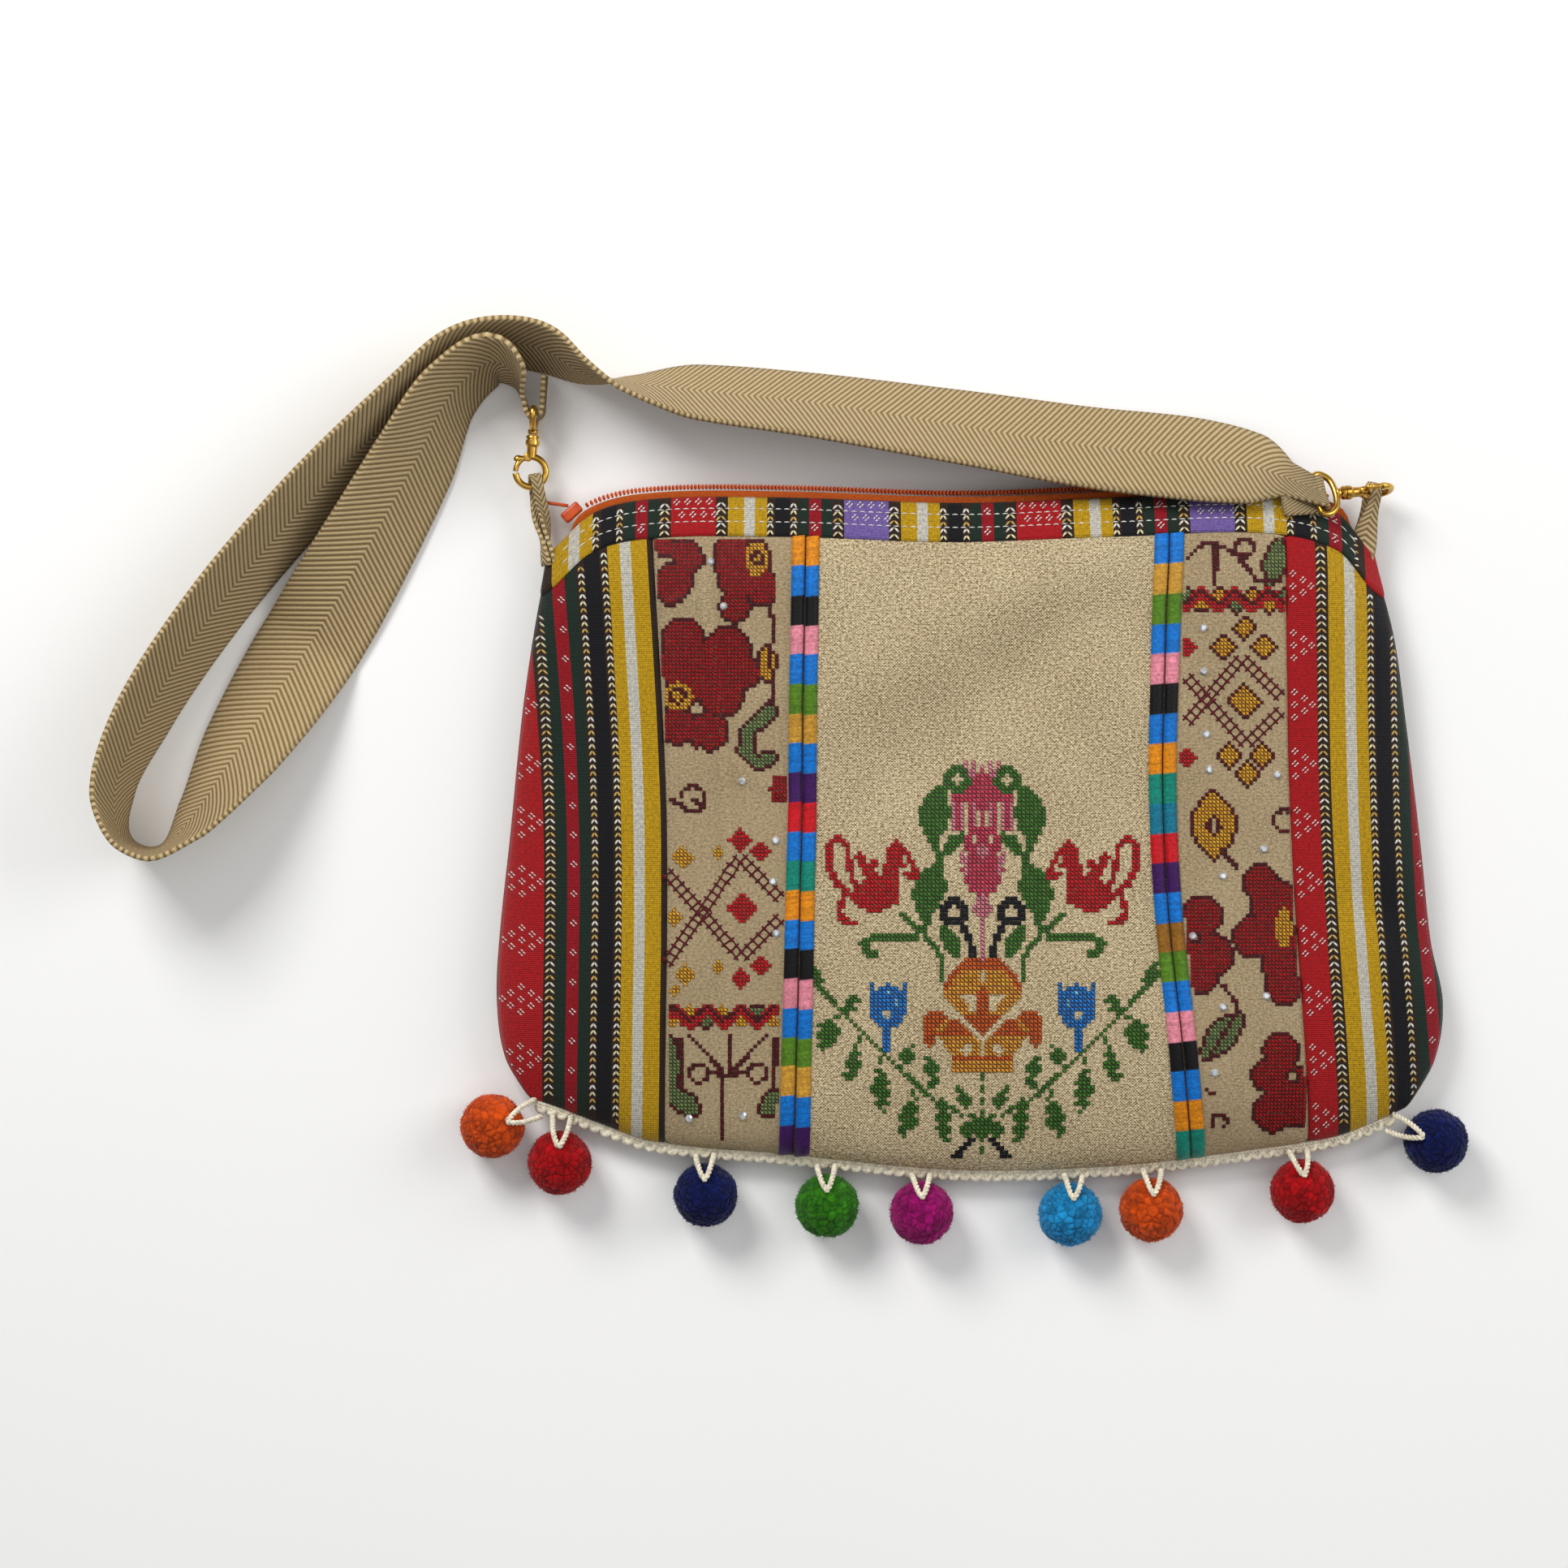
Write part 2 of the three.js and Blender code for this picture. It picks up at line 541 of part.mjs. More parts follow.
// A tube of even radius along a curve, closed into a loop or capped.
function tube(points, radius, sides, steps, loop = false) {
  const curve = new THREE.CatmullRomCurve3(points, loop, 'centripetal');
  const frames = curve.computeFrenetFrames(steps, loop);
  const rings = times(loop ? steps : steps + 1, (i) => {
    const centre = curve.getPointAt(i / steps);
    return times(sides, (k) => {
      const turn = (2 * Math.PI * k) / sides;
      return centre.clone()
        .addScaledVector(frames.normals[i], radius * Math.cos(turn))
        .addScaledVector(frames.binormals[i], radius * Math.sin(turn));
    });
  });
  return skin(rings, loop);
}

// A flat disc across the ring's plane, used for the gate's heel and for cuts.
function disc(x, y, radius, thick, sides) {
  const shape = new THREE.CylinderGeometry(radius, radius, thick, sides);
  return solidOf(shape.rotateX(Math.PI / 2).translate(x, y, 0));
}

// The claw and its sprung gate in the ring's own plane: x along the hook, y towards the lever.
function hookSolids() {
  const { ring, wire, gateWire, neck, barrel } = HOOK;
  const onRing = (degrees, radius = ring) => {
    const turn = radians(degrees);
    return vec(radius * Math.cos(turn), radius * Math.sin(turn), 0);
  };
  const pivot = onRing(GATE.pivot);
  const reach = onRing(GATE.from).distanceTo(pivot);
  const arc = (from, to, radius, count) => tube(
    times(count, (i) => onRing(lerp(from, to, i / (count - 1)))), radius, 6, count * 2,
  );
  const [throat, tip] = [barrel * 0.7, neck + 0.6];
  const stem = new THREE.LatheGeometry([
    [0, 0], [barrel, 0], [barrel, neck * 0.45], [throat, neck * 0.6], [throat, tip], [0, tip],
  ].map(([r, h]) => new THREE.Vector2(r, h)), 10);
  stem.rotateZ(-Math.PI / 2).translate(-neck - ring, 0, 0);
  const sweep = disc(pivot.x, pivot.y, reach + GAP, 8, 32)
    .intersect(disc(pivot.x + 3, pivot.y + 6.2, 6, 8, 24));
  const claw = solidOf(arc(GATE.from - 14, -178, wire, 10))
    .add(solidOf(stem))
    .subtract(disc(pivot.x, pivot.y, GATE.heel + GAP, 8, 16))
    .subtract(sweep);
  const nub = new THREE.SphereGeometry(1.9, 8, 5).scale(0.8, 1.5, 0.75);
  nub.translate(pivot.x + 1, pivot.y + 3.2, 0);
  const gate = solidOf(arc(GATE.from - 8, GATE.pivot - 2, gateWire, 6))
    .intersect(disc(pivot.x, pivot.y, reach, 8, 32))
    .add(disc(pivot.x, pivot.y, GATE.heel, 2.4, 14))
    .add(solidOf(nub));
  return { claw, gate };
}

// D-shaped eye that the strap's end goes round, with its post towards the hook's neck.
function eyeSolid() {
  const { eyeHalf, eyeDepth, wire, barrel } = HOOK;
  const [bend, shoulder] = [eyeDepth * 0.72, eyeDepth * 0.36];
  const loop = [
    [-eyeDepth, -eyeHalf * 0.5], [-eyeDepth, 0], [-eyeDepth, eyeHalf * 0.5],
    [-eyeDepth + 0.5, eyeHalf * 0.92], [-bend, eyeHalf], [-shoulder, eyeHalf * 0.72],
    [-2.1, 0],
    [-shoulder, -eyeHalf * 0.72], [-bend, -eyeHalf], [-eyeDepth + 0.5, -eyeHalf * 0.92],
  ].map(([x, y]) => vec(x, y, 0));
  const post = new THREE.CylinderGeometry(barrel * 0.75, barrel * 0.75, 1.9, 10);
  post.rotateZ(Math.PI / 2).translate(-GAP - 0.95, 0, 0);
  return solidOf(tube(loop, wire, 6, 20, true)).add(solidOf(post));
}

function hooks() {
  for (const [side, hook] of Object.entries(HOOKS)) {
    const { axis, lever, across } = hookBasis(hook);
    const { claw, gate } = hookSolids();
    const ring = new THREE.Group();
    ring.position.copy(ringCentre(hook));
    ring.quaternion.setFromRotationMatrix(new THREE.Matrix4().makeBasis(axis, lever, across));
    addPart(`hook_claw_${side}`, geometryOf(claw), MATERIALS.gold, ring);
    addPart(`hook_gate_${side}`, geometryOf(gate), MATERIALS.gold, ring);
    const eye = new THREE.Group();
    const up = vec(...hook.eyeUp);
    const flat = axis.clone().cross(up).normalize();
    eye.position.set(hook.x, hook.y, hook.z);
    eye.quaternion.setFromRotationMatrix(new THREE.Matrix4().makeBasis(axis, flat.clone().cross(axis), flat));
    addPart(`hook_eye_${side}`, geometryOf(eyeSolid()), MATERIALS.gold, eye);
    bag.add(ring, eye);
  }
}

function strap() {
  const ends = Object.fromEntries(Object.entries(HOOKS).map(([side, hook]) => {
    const { axis } = hookBasis(hook);
    const across = vec(...hook.eyeUp);
    across.addScaledVector(axis, -across.dot(axis)).normalize();
    return [side, { bar: eyeBar(hook), away: axis.clone().negate(), across }];
  }));
  const leftAcross = ends.left.across.clone().negate();
  const leftSide = ends.left.away.clone().cross(leftAcross).normalize();
  const start = strapFold(ends.left.bar, ends.left.away, leftAcross, leftSide).reverse();
  const rightSide = ends.right.away.clone().cross(ends.right.across).normalize();
  const finish = strapFold(ends.right.bar, ends.right.away, ends.right.across, rightSide);
  addPart('strap', ribbon([...start, ...strapRun(), ...finish]), MATERIALS.webbing);
}

// Loop of webbing from a corner of the bag round a hook's ring, gathered where it goes through.
function hangingTab(name, seat, fold, radius, seatAcross, foldAcross) {
  const run = fold.clone().sub(seat);
  const length = run.length();
  run.normalize();
  const station = (along, off) => {
    const share = clamp(along / length, 0, 1);
    const across = seatAcross.clone().lerp(foldAcross, THREE.MathUtils.smoothstep(share, 0, 1));
    across.addScaledVector(run, -across.dot(run)).normalize();
    const normal = run.clone().cross(across);
    const width = lerp(TAB.seatWidth, TAB.foldWidth, THREE.MathUtils.smoothstep(share, 0, 0.6));
    const centre = seat.clone().addScaledVector(run, along).addScaledVector(normal, off);
    return { centre, across, width, thick: TAB.thick };
  };
  const opening = (share) => lerp(TAB.seatHalf, radius, THREE.MathUtils.smoothstep(share, 0.35, 1));
  const shares = times(8, (i) => i / 8);
  const out = shares.map((share) => station(share * length, opening(share)));
  const turn = times(9, (k) => {
    const angle = (Math.PI * k) / 8;
    return station(length + radius * Math.sin(angle), radius * Math.cos(angle));
  });
  const back = shares.reverse().map((share) => station(share * length, -opening(share)));
  addPart(name, ribbon([...out, ...turn, ...back]), MATERIALS.webbing);
}

function tabs() {
  const left = hookBasis(HOOKS.left);
  const leftFold = ringCentre(HOOKS.left)
    .addScaledVector(left.axis, HOOK.ring * 0.9)
    .addScaledVector(left.lever, -HOOK.ring * 0.42);
  hangingTab('tab_left', vec(-159.6, 104.6, 9.4), leftFold, 3.9, vec(0.3, 0.2, 1), vec(-1, 0.1, 0.2));
  const right = hookBasis(HOOKS.right);
  const rightFold = ringCentre(HOOKS.right).addScaledVector(right.lever, -HOOK.ring * 0.72);
  hangingTab('tab_right', vec(153.4, 106.7, 9.4), rightFold, 3.7, vec(0.9, -0.3, 0.3), right.axis);
}

// Cream looped trim along the hem, its outer edge in scallops.
const hemFrame = (x) => {
  const run = vec(1, hemAt(x + 0.5) - hemAt(x - 0.5), 0).normalize();
  return { spot: vec(x, hemAt(x), 0), out: vec(run.y, -run.x, 0) };
};

function hemTrim() {
  const count = Math.round((TRIM.to - TRIM.from) / TRIM.pitch);
  const middle = SEAM_Z - GAP / 2;
  const rings = times(count + 1, (i) => {
    const { spot, out } = hemFrame(lerp(TRIM.from, TRIM.to, i / count));
    const far = TRIM.near + TRIM.out - (i % 2) * TRIM.scallop;
    const [edge, lip] = [TRIM.tall / 2, TRIM.tall * 0.3];
    const corner = (away, height) => spot.clone().addScaledVector(out, away).setZ(middle + height);
    return [corner(TRIM.near, -edge), corner(far, -lip), corner(far, lip), corner(TRIM.near, edge)];
  });
  addPart('hem_trim', skin(rings), MATERIALS.cream);
}

// A pompom: locks stand out from a round head, with clefts between them.
function pompomGeometry(turn) {
  const bare = (shape) => shape.deleteAttribute('normal').deleteAttribute('uv');
  const ball = bare(new THREE.IcosahedronGeometry(POMPOM_RADIUS, 2));
  const heart = mergeVertices(bare(new THREE.IcosahedronGeometry(1, 0)));
  const corners = times(12, (i) => vec(0, 0, 0).fromBufferAttribute(heart.attributes.position, i));
  const geometry = mergeVertices(ball, 1e-3);
  const spots = geometry.attributes.position;
  for (let i = 0; i < spots.count; i++) {
    const spot = vec(0, 0, 0).fromBufferAttribute(spots, i);
    const near = corners.map((corner) => corner.angleTo(spot)).sort((a, b) => a - b);
    const lockTip = near[0] < 0.05 || near[2] - near[0] < 0.05;
    spot.multiplyScalar(lockTip ? 1 : 1 - LOCK_DEPTH);
    spots.setXYZ(i, spot.x, spot.y, spot.z);
  }
  return geometry.rotateX(turn).rotateY(turn * 1.7);
}

function pompoms() {
  POMPOMS.forEach((pompom, i) => {
    const ball = pompomGeometry(0.5 + i);
    ball.computeBoundingBox();
    const centre = vec(pompom.x, pompom.y, -ball.boundingBox.min.z);
    addPart(`pompom_${i + 1}`, ball.translate(centre.x, centre.y, centre.z), {
      color: pompom.colour, roughness: 1, metalness: 0,
    });
    const { spot, out } = hemFrame(pompom.foot);
    const foot = spot.addScaledVector(out, TRIM.near + TRIM.out / 2).setZ(SEAM_Z + TRIM.tall * 0.4 + 2 * GAP);
    const way = foot.clone().sub(centre).setZ(0).normalize();
    const side = vec(-way.y, way.x, 0);
    const over = (lift, spread, clear) => {
      const reach = POMPOM_RADIUS + LOOP_CORD + clear;
      return centre.clone()
        .addScaledVector(way, reach * Math.cos(radians(lift)))
        .addScaledVector(side, spread)
        .setZ(centre.z + reach * Math.sin(radians(lift)));
    };
    const leg = (spread) => foot.clone().addScaledVector(side, spread);
    const loop = [
      leg(-3.4), over(24, -2.7, 2 * GAP), over(48, -1.3, 0), over(58, 0, -GAP),
      over(48, 1.3, 0), over(24, 2.7, 2 * GAP), leg(3.4),
    ];
    addPart(`pompom_loop_${i + 1}`, tube(loop, LOOP_CORD, 6, 10), MATERIALS.cream);
  });
}

frontStrips();
woundCords();
bandsAndBack();
zip();
hooks();
strap();
tabs();
hemTrim();
pompoms();

export default bag;
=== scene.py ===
import math
import random

import bpy
import numpy as np
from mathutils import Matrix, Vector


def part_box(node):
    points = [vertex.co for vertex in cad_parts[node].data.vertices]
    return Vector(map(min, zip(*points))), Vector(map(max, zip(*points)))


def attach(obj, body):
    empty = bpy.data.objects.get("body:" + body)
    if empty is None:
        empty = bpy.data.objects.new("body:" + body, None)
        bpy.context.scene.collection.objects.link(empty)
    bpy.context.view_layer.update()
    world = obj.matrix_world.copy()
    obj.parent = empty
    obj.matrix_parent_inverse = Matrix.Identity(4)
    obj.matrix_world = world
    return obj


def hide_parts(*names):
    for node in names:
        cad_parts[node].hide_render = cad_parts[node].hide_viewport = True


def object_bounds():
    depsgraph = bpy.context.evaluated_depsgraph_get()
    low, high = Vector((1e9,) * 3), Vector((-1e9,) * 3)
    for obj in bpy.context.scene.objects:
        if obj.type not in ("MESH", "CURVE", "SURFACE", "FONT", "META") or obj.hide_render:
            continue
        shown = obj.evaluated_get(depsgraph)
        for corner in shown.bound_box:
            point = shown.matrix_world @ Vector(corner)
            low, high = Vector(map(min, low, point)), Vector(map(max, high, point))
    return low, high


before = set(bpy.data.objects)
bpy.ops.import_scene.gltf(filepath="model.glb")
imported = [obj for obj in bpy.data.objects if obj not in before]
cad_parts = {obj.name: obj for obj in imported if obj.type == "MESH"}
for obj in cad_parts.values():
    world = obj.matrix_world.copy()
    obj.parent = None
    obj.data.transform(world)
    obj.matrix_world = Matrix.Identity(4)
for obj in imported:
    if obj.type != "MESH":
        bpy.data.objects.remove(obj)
cad_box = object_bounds()
rng = random.Random(7)

# Sizes in millimetres, and shares of the bag's height.
MM = 0.001
CLOTH = 1.6
SEAM_Z = 8.5
FULLNESS = 17.5
ZIP_SHARE = 0.26
HEM_ROUND = 0.3
TOP_ROUND = 0.16
BACK_CURL = 16.0
SEAM_TURN = 0.7
BAND_HEIGHT = 14.5
BAND_LIFT = 0.9
BACK_FIGURE_LIFT = 0.06
BAND_SHARE = 0.94
GAP = 0.3
WEBBING = 1.8
STRAP_WIDTH = 38.0
STRAP_END_WIDTH = 12.4
STRAP_STEPS = 340
STRAP_TAIL = 13.0


def table(columns, *rows):
    """Columns by name from rows of numbers."""
    return dict(zip(columns.split(), np.array(rows, float).T))


# Outline of the bag: side edges by rise, hem and zip line by place across, seams by rise.
SIDES = table(
    "rise left right",
    (0.0, -163, 162), (0.065, -171, 171), (0.17, -174, 174), (0.3, -173, 169.5),
    (0.5, -169, 165.5), (0.73, -164.5, 160), (0.88, -160, 155.5), (1.0, -155, 148))
RIMS = table(
    "across hem zip",
    (-176, -93, 92), (-155, -99, 104), (-139, -105, 118), (-117, -112.5, 123), (-70, -117, 123.5),
    (-4, -123, 121.5), (54, -121.5, 123.5), (105, -115.5, 125), (134, -111, 119), (148, -106, 104),
    (176, -93, 88))
SEAMS = table(
    "rise stripe_left flower_left cords_left cords_right flower_right stripe_right",
    (0.0, -113, -71, -59, 76, 87, 125),
    (0.5, -112, -68, -57, 65, 75.5, 117),
    (1.0, -118, -66, -55.5, 67.5, 79, 115))
# Folds and creases of the front: from, to, width and lift.
FOLDS = (
    ((58, 112), (-62, 44), 17, 3.2), ((66, 96), (-52, 2), 15, -3.8),
    ((-92, 96), (-90, -40), 9, -1.4), ((176, -38), (132, -20), 11, -3.0),
    ((-45, -55), (-112, -104), 22, -2.6), ((36, -48), (98, -104), 24, 2.2),
    ((-99.5, 104), (-92, 38), 2.0, 0.7), ((-92.6, 50), (-88.8, -14), 1.8, 0.6),
    ((-89, 0), (-89.6, -78), 1.8, 0.5), ((-115, 84), (-98, 87), 2.4, 0.7),
    ((-90, 28), (-66, 12), 3.0, 0.8))
# Strap stations from the left hook round to the right one.
STRAP_ROUTE = table(
    "x y lift roll width",
    (-165.8, 162.5, 0.6, -88, 19), (-167.2, 169.5, 0.3, -78, 33), (-176.2, 175.4, 0.3, -67, 38),
    (-192, 163.6, 0.3, -60, 38), (-205.9, 138, 0.3, -42, 38), (-227.4, 100.3, 0.3, -24, 38),
    (-250.6, 62.6, 0.3, 8, 38), (-270.9, 30.7, 0.3, 36, 38), (-287.5, 5.2, 0.3, 64, 38),
    (-300.5, -6.8, 0.3, 84, 38), (-313, -2.5, 0.3, 88, 38), (-316.5, 15, 0.3, 76, 38),
    (-305.5, 43, 0.3, 65, 38), (-278.6, 84.1, 0.3, 62, 38), (-244.8, 123.5, 0.3, 62, 38),
    (-207, 161.2, 0.3, 65, 38), (-189.5, 177.6, 0.3, 68, 38), (-174.6, 182.2, 0.3, 69, 38),
    (-157.8, 179.6, 0.3, 68, 38), (-143.3, 171.3, 0.3, 80, 38), (-128.8, 166.5, 0.3, 100, 38),
    (-102.7, 163.6, 0.3, 124, 38), (-58, 158.9, 0.3, 131, 38), (-4.1, 150.8, 0.3, 138, 38),
    (42.3, 143.5, 1.2, 144, 38), (84, 138.8, 3.0, 146, 38), (106, 135, 6.5, 148, 31),
    (117.5, 131.2, 10.8, 152, 14.5))


def vec(*numbers):
    return np.array(numbers, float)


def unit(way):
    return way / np.linalg.norm(way, axis=-1, keepdims=True)


def lerp(a, b, t):
    return a + (b - a) * t


def smooth(t):
    t = np.clip(t, 0, 1)
    return t * t * (3 - 2 * t)


def eased(t, share):
    """Rows of a cloth drawn together towards both ends, by this share."""
    return lerp(t, (1 - np.cos(math.pi * t)) / 2, share)


def reach_along(points):
    """Length of a path from its start to each of its points."""
    return np.concatenate([[0], np.cumsum(np.linalg.norm(np.diff(points, axis=0), axis=1))])


def round_turns(count):
    """Angles spread evenly round a circle."""
    return 2 * math.pi * np.arange(count) / count


def along(rows, key, column, at):
    """Smooth value of one column at a place along the key column."""
    keys, values = rows[key], rows[column]
    last = len(keys) - 1
    place = np.clip(at, keys[0], keys[-1])
    i = np.clip(np.searchsorted(keys, place) - 1, 0, last - 1)
    order = np.arange(last + 1)
    before, after = np.maximum(order - 1, 0), np.minimum(order + 1, last)
    slope = (values[after] - values[before]) / (keys[after] - keys[before])
    span = keys[i + 1] - keys[i]
    t = (place - keys[i]) / span
    bend = (t ** 3 - 2 * t ** 2 + t) * slope[i] + (t ** 3 - t ** 2) * slope[i + 1]
    ease = 3 * t ** 2 - 2 * t ** 3
    return lerp(values[i], values[i + 1], ease) + bend * span


def side_at(side, rise):
    return along(SIDES, "rise", side, rise)


def seam_at(seam, rise):
    return along(SEAMS, "rise", seam, rise)


def hem_at(x):
    return along(RIMS, "across", "hem", x)


def zip_at(x):
    return along(RIMS, "across", "zip", x)


def rise_at(x, y):
    return (y - hem_at(x)) / (zip_at(x) - hem_at(x))


def band_rise(x):
    return 1 - BAND_HEIGHT / (zip_at(x) - hem_at(x))


def folds_at(x, y):
    total = np.zeros_like(x)
    for (from_x, from_y), (to_x, to_y), width, lift in FOLDS:
        run = vec(to_x - from_x, to_y - from_y)
        length = math.hypot(*run)
        share = ((x - from_x) * run[0] + (y - from_y) * run[1]) / length ** 2
        side = ((x - from_x) * run[1] - (y - from_y) * run[0]) / length / width
        total += lift * np.exp(-((share - 0.5) / 0.5) ** 4 - side ** 2)
    return total


def ripple(x, y):
    """Small unevenness of lying cloth."""
    return (0.22 * np.sin(x / 7.3 + 1.7 * np.sin(y / 23)) * np.sin(y / 17 + 0.6)
            + 0.16 * np.sin((x + y) / 9.1 + 2.1) + 0.14 * np.sin((x - 1.6 * y) / 12.7))


def matched(*values):
    """Numbers or arrays of them as arrays of one shape."""
    return np.broadcast_arrays(*(np.asarray(value, float) for value in values))


def front(x, rise):
    """Front of the bag, its inner face, in millimetres."""
    x, rise = matched(x, rise)
    left, right = side_at("left", rise), side_at("right", rise)
    off = np.clip(np.abs(2 * x - left - right) / (right - left), 0, 1)
    across = np.sqrt(1 - off ** 6)
    from_hem = np.clip(1 - rise / HEM_ROUND, 0, 1)
    from_zip = np.clip(1 - (1 - rise) / TOP_ROUND, 0, 1)
    belly = np.sqrt(1 - from_hem ** 2.6)
    y = lerp(hem_at(x), zip_at(x), rise)
    fade = across * belly * (1 - from_zip ** 2)
    height = across * belly * lerp(1, ZIP_SHARE, from_zip ** 2.2)
    z = SEAM_Z + FULLNESS * height + (folds_at(x, y) + ripple(x, y)) * fade
    return np.stack([x, y, z], axis=-1)


def back(x, rise):
    """Back of the bag, its outer face: flat on the floor with its rim curled up."""
    x, rise = matched(x, rise)
    y = lerp(hem_at(x), zip_at(x), rise)
    from_sides = np.minimum(x - side_at("left", rise), side_at("right", rise) - x)
    inside = np.minimum.reduce([from_sides, y - hem_at(x), zip_at(x) - y])
    curl = np.clip(1 - inside / BACK_CURL, 0, 1)
    return np.stack([x, y, (SEAM_Z - CLOTH + SEAM_TURN) * curl ** 2], axis=-1)


def normal_of(surface, x, rise):
    a = surface(x + 0.4, rise) - surface(x - 0.4, rise)
    b = surface(x, np.minimum(rise + 0.002, 1)) - surface(x, np.maximum(rise - 0.002, 0))
    return unit(np.cross(a, b))


def lifted(surface, x, rise, by):
    x, rise, by = matched(x, rise, by)
    return surface(x, rise) + normal_of(surface, x, rise) * by[..., None]


def on_front(x, y, by):
    """Points a little above the front cloth's outer face, by place seen from above."""
    return lifted(front, x, rise_at(*matched(x, y)), CLOTH + by)


def on_back(x, y, by):
    """Points a little below the back cloth's outer face, by place seen from above."""
    return lifted(back, x, rise_at(*matched(x, y)), -by)


def joins(operation, swapped=False):
    """A method that joins two values by one operation."""
    def method(self, other):
        pair = (other, self) if swapped else (self, other)
        return self.finish.math(operation, *pair)
    return method


class Value:
    """A shader socket that can be used in arithmetic."""

    def __init__(self, finish, socket):
        self.finish = finish
        self.socket = socket

    __add__, __radd__ = joins("ADD"), joins("ADD", True)
    __sub__, __rsub__ = joins("SUBTRACT"), joins("SUBTRACT", True)
    __mul__, __rmul__ = joins("MULTIPLY"), joins("MULTIPLY", True)
    __truediv__ = joins("DIVIDE")


class Finish:
    """A material, its nodes, and the arithmetic between them."""

    def __init__(self, name, shine=0.2, **sockets):
        self.material = bpy.data.materials.new(name)
        self.material.use_nodes = True
        self.tree = self.material.node_tree
        self.shader = self.tree.nodes["Principled BSDF"]
        self.shader.inputs["Specular IOR Level"].default_value = shine
        for socket, value in sockets.items():
            self.shader.inputs[socket.replace("_", " ").title()].default_value = value

    def put(self, socket, value):
        if isinstance(value, Value):
            self.tree.links.new(value.socket, socket)
        else:
            socket.default_value = value

    def node(self, kind, settings=(), output=0, **sockets):
        made = self.tree.nodes.new("ShaderNode" + kind)
        for name, value in dict(settings).items():
            setattr(made, name, value)
        for name, value in sockets.items():
            key = int(name[2:]) if name.startswith("in") and name[2:].isdigit() else name.replace("_", " ")
            self.put(made.inputs[key], value)
        return Value(self, made.outputs[output])

    def math(self, operation, a, b=0.0):
        return self.node("Math", {"operation": operation}, in0=a, in1=b)

    def multiply(self, dye, tone):
        """A colour toned by another one."""
        settings = {"data_type": "RGBA", "blend_type": "MULTIPLY"}
        return self.node("Mix", settings, output=2, in0=1.0, in6=dye, in7=tone)

    def place(self):
        """Place on the piece, in metres."""
        return self.node("TexCoord", output=3)

    def ramp(self, factor, stops, interpolation="LINEAR"):
        made = self.tree.nodes.new("ShaderNodeValToRGB")
        ramp = made.color_ramp
        ramp.interpolation = interpolation
        while len(ramp.elements) < len(stops):
            ramp.elements.new(1.0)
        for element, (place, colour) in zip(ramp.elements, stops):
            element.position = place
            element.color = colour
        self.put(made.inputs[0], factor)
        return Value(self, made.outputs[0])

    def uv(self):
        """The piece's own map: millimetres across and along."""
        place = self.node("UVMap", {"uv_map": "cut"})
        parts = self.tree.nodes.new("ShaderNodeSeparateXYZ")
        self.put(parts.inputs[0], place)
        return place, Value(self, parts.outputs[0]), Value(self, parts.outputs[1])

    def noise(self, vector, scale, detail=2.0):
        return self.node("TexNoise", Vector=vector, Scale=scale, Detail=detail)

    def bump(self, height, distance, strength=1.0):
        normal = self.node("Bump", Height=height, Distance=distance, Strength=strength)
        self.put(self.shader.inputs["Normal"], normal)

    def colour(self, value):
        self.put(self.shader.inputs["Base Color"], value)

    def rough(self, value):
        self.put(self.shader.inputs["Roughness"], value)

    def wave(self, value, pitch):
        """A smooth wave from 0 to 1 with this pitch."""
        return self.math("SINE", value * (2 * math.pi / pitch)) * 0.5 + 0.5


def rgb(red, green, blue):
    """Linear colour from screen values."""
    return tuple(round((v / 255) ** 2.2, 4) for v in (red, green, blue)) + (1.0,)


def dyed(colour, by):
    """The same colour lighter or darker."""
    return tuple(min(c * by, 1.0) for c in colour[:3]) + (1.0,)


def set_tint(mesh, tints):
    """A dye for every point, which the thread finishes read."""
    layer = mesh.attributes.new("tint", "FLOAT_COLOR", "POINT")
    layer.data.foreach_set("color", np.asarray(tints, np.float32).ravel())


def linked(name, data):
    """A new object in the scene."""
    made = bpy.data.objects.new(name, data)
    bpy.context.collection.objects.link(made)
    return made


def mesh_piece(name, points, faces, finish, tints):
    """One object from arrays of points in millimetres."""
    mesh = bpy.data.meshes.new(name)
    mesh.from_pydata((np.asarray(points) * MM).tolist(), [], [list(map(int, f)) for f in faces])
    set_tint(mesh, tints)
    mesh.update()
    mesh.shade_smooth()
    mesh.materials.append(finish.material)
    return linked(name, mesh)


def set_uv(mesh, by_vertex):
    layer = mesh.uv_layers.active or mesh.uv_layers.new(name="cut")
    layer.name = "cut"
    corners = np.empty(len(mesh.loops), np.int32)
    mesh.loops.foreach_get("vertex_index", corners)
    layer.data.foreach_set("uv", np.asarray(by_vertex, np.float32)[corners].ravel())


def primitive(name, add, **settings):
    """A primitive added by its own operator, under its name."""
    bpy.ops.object.select_all(action="DESELECT")
    add(**settings)
    piece = bpy.context.object
    piece.name = piece.data.name = name
    return piece


def places_of(mesh):
    places = np.empty(len(mesh.vertices) * 3)
    mesh.vertices.foreach_get("co", places)
    return places.reshape(-1, 3)


def put_places(mesh, spots):
    """Set every point of a mesh, in millimetres."""
    mesh.vertices.foreach_set("co", (spots * MM).ravel())
    mesh.update()


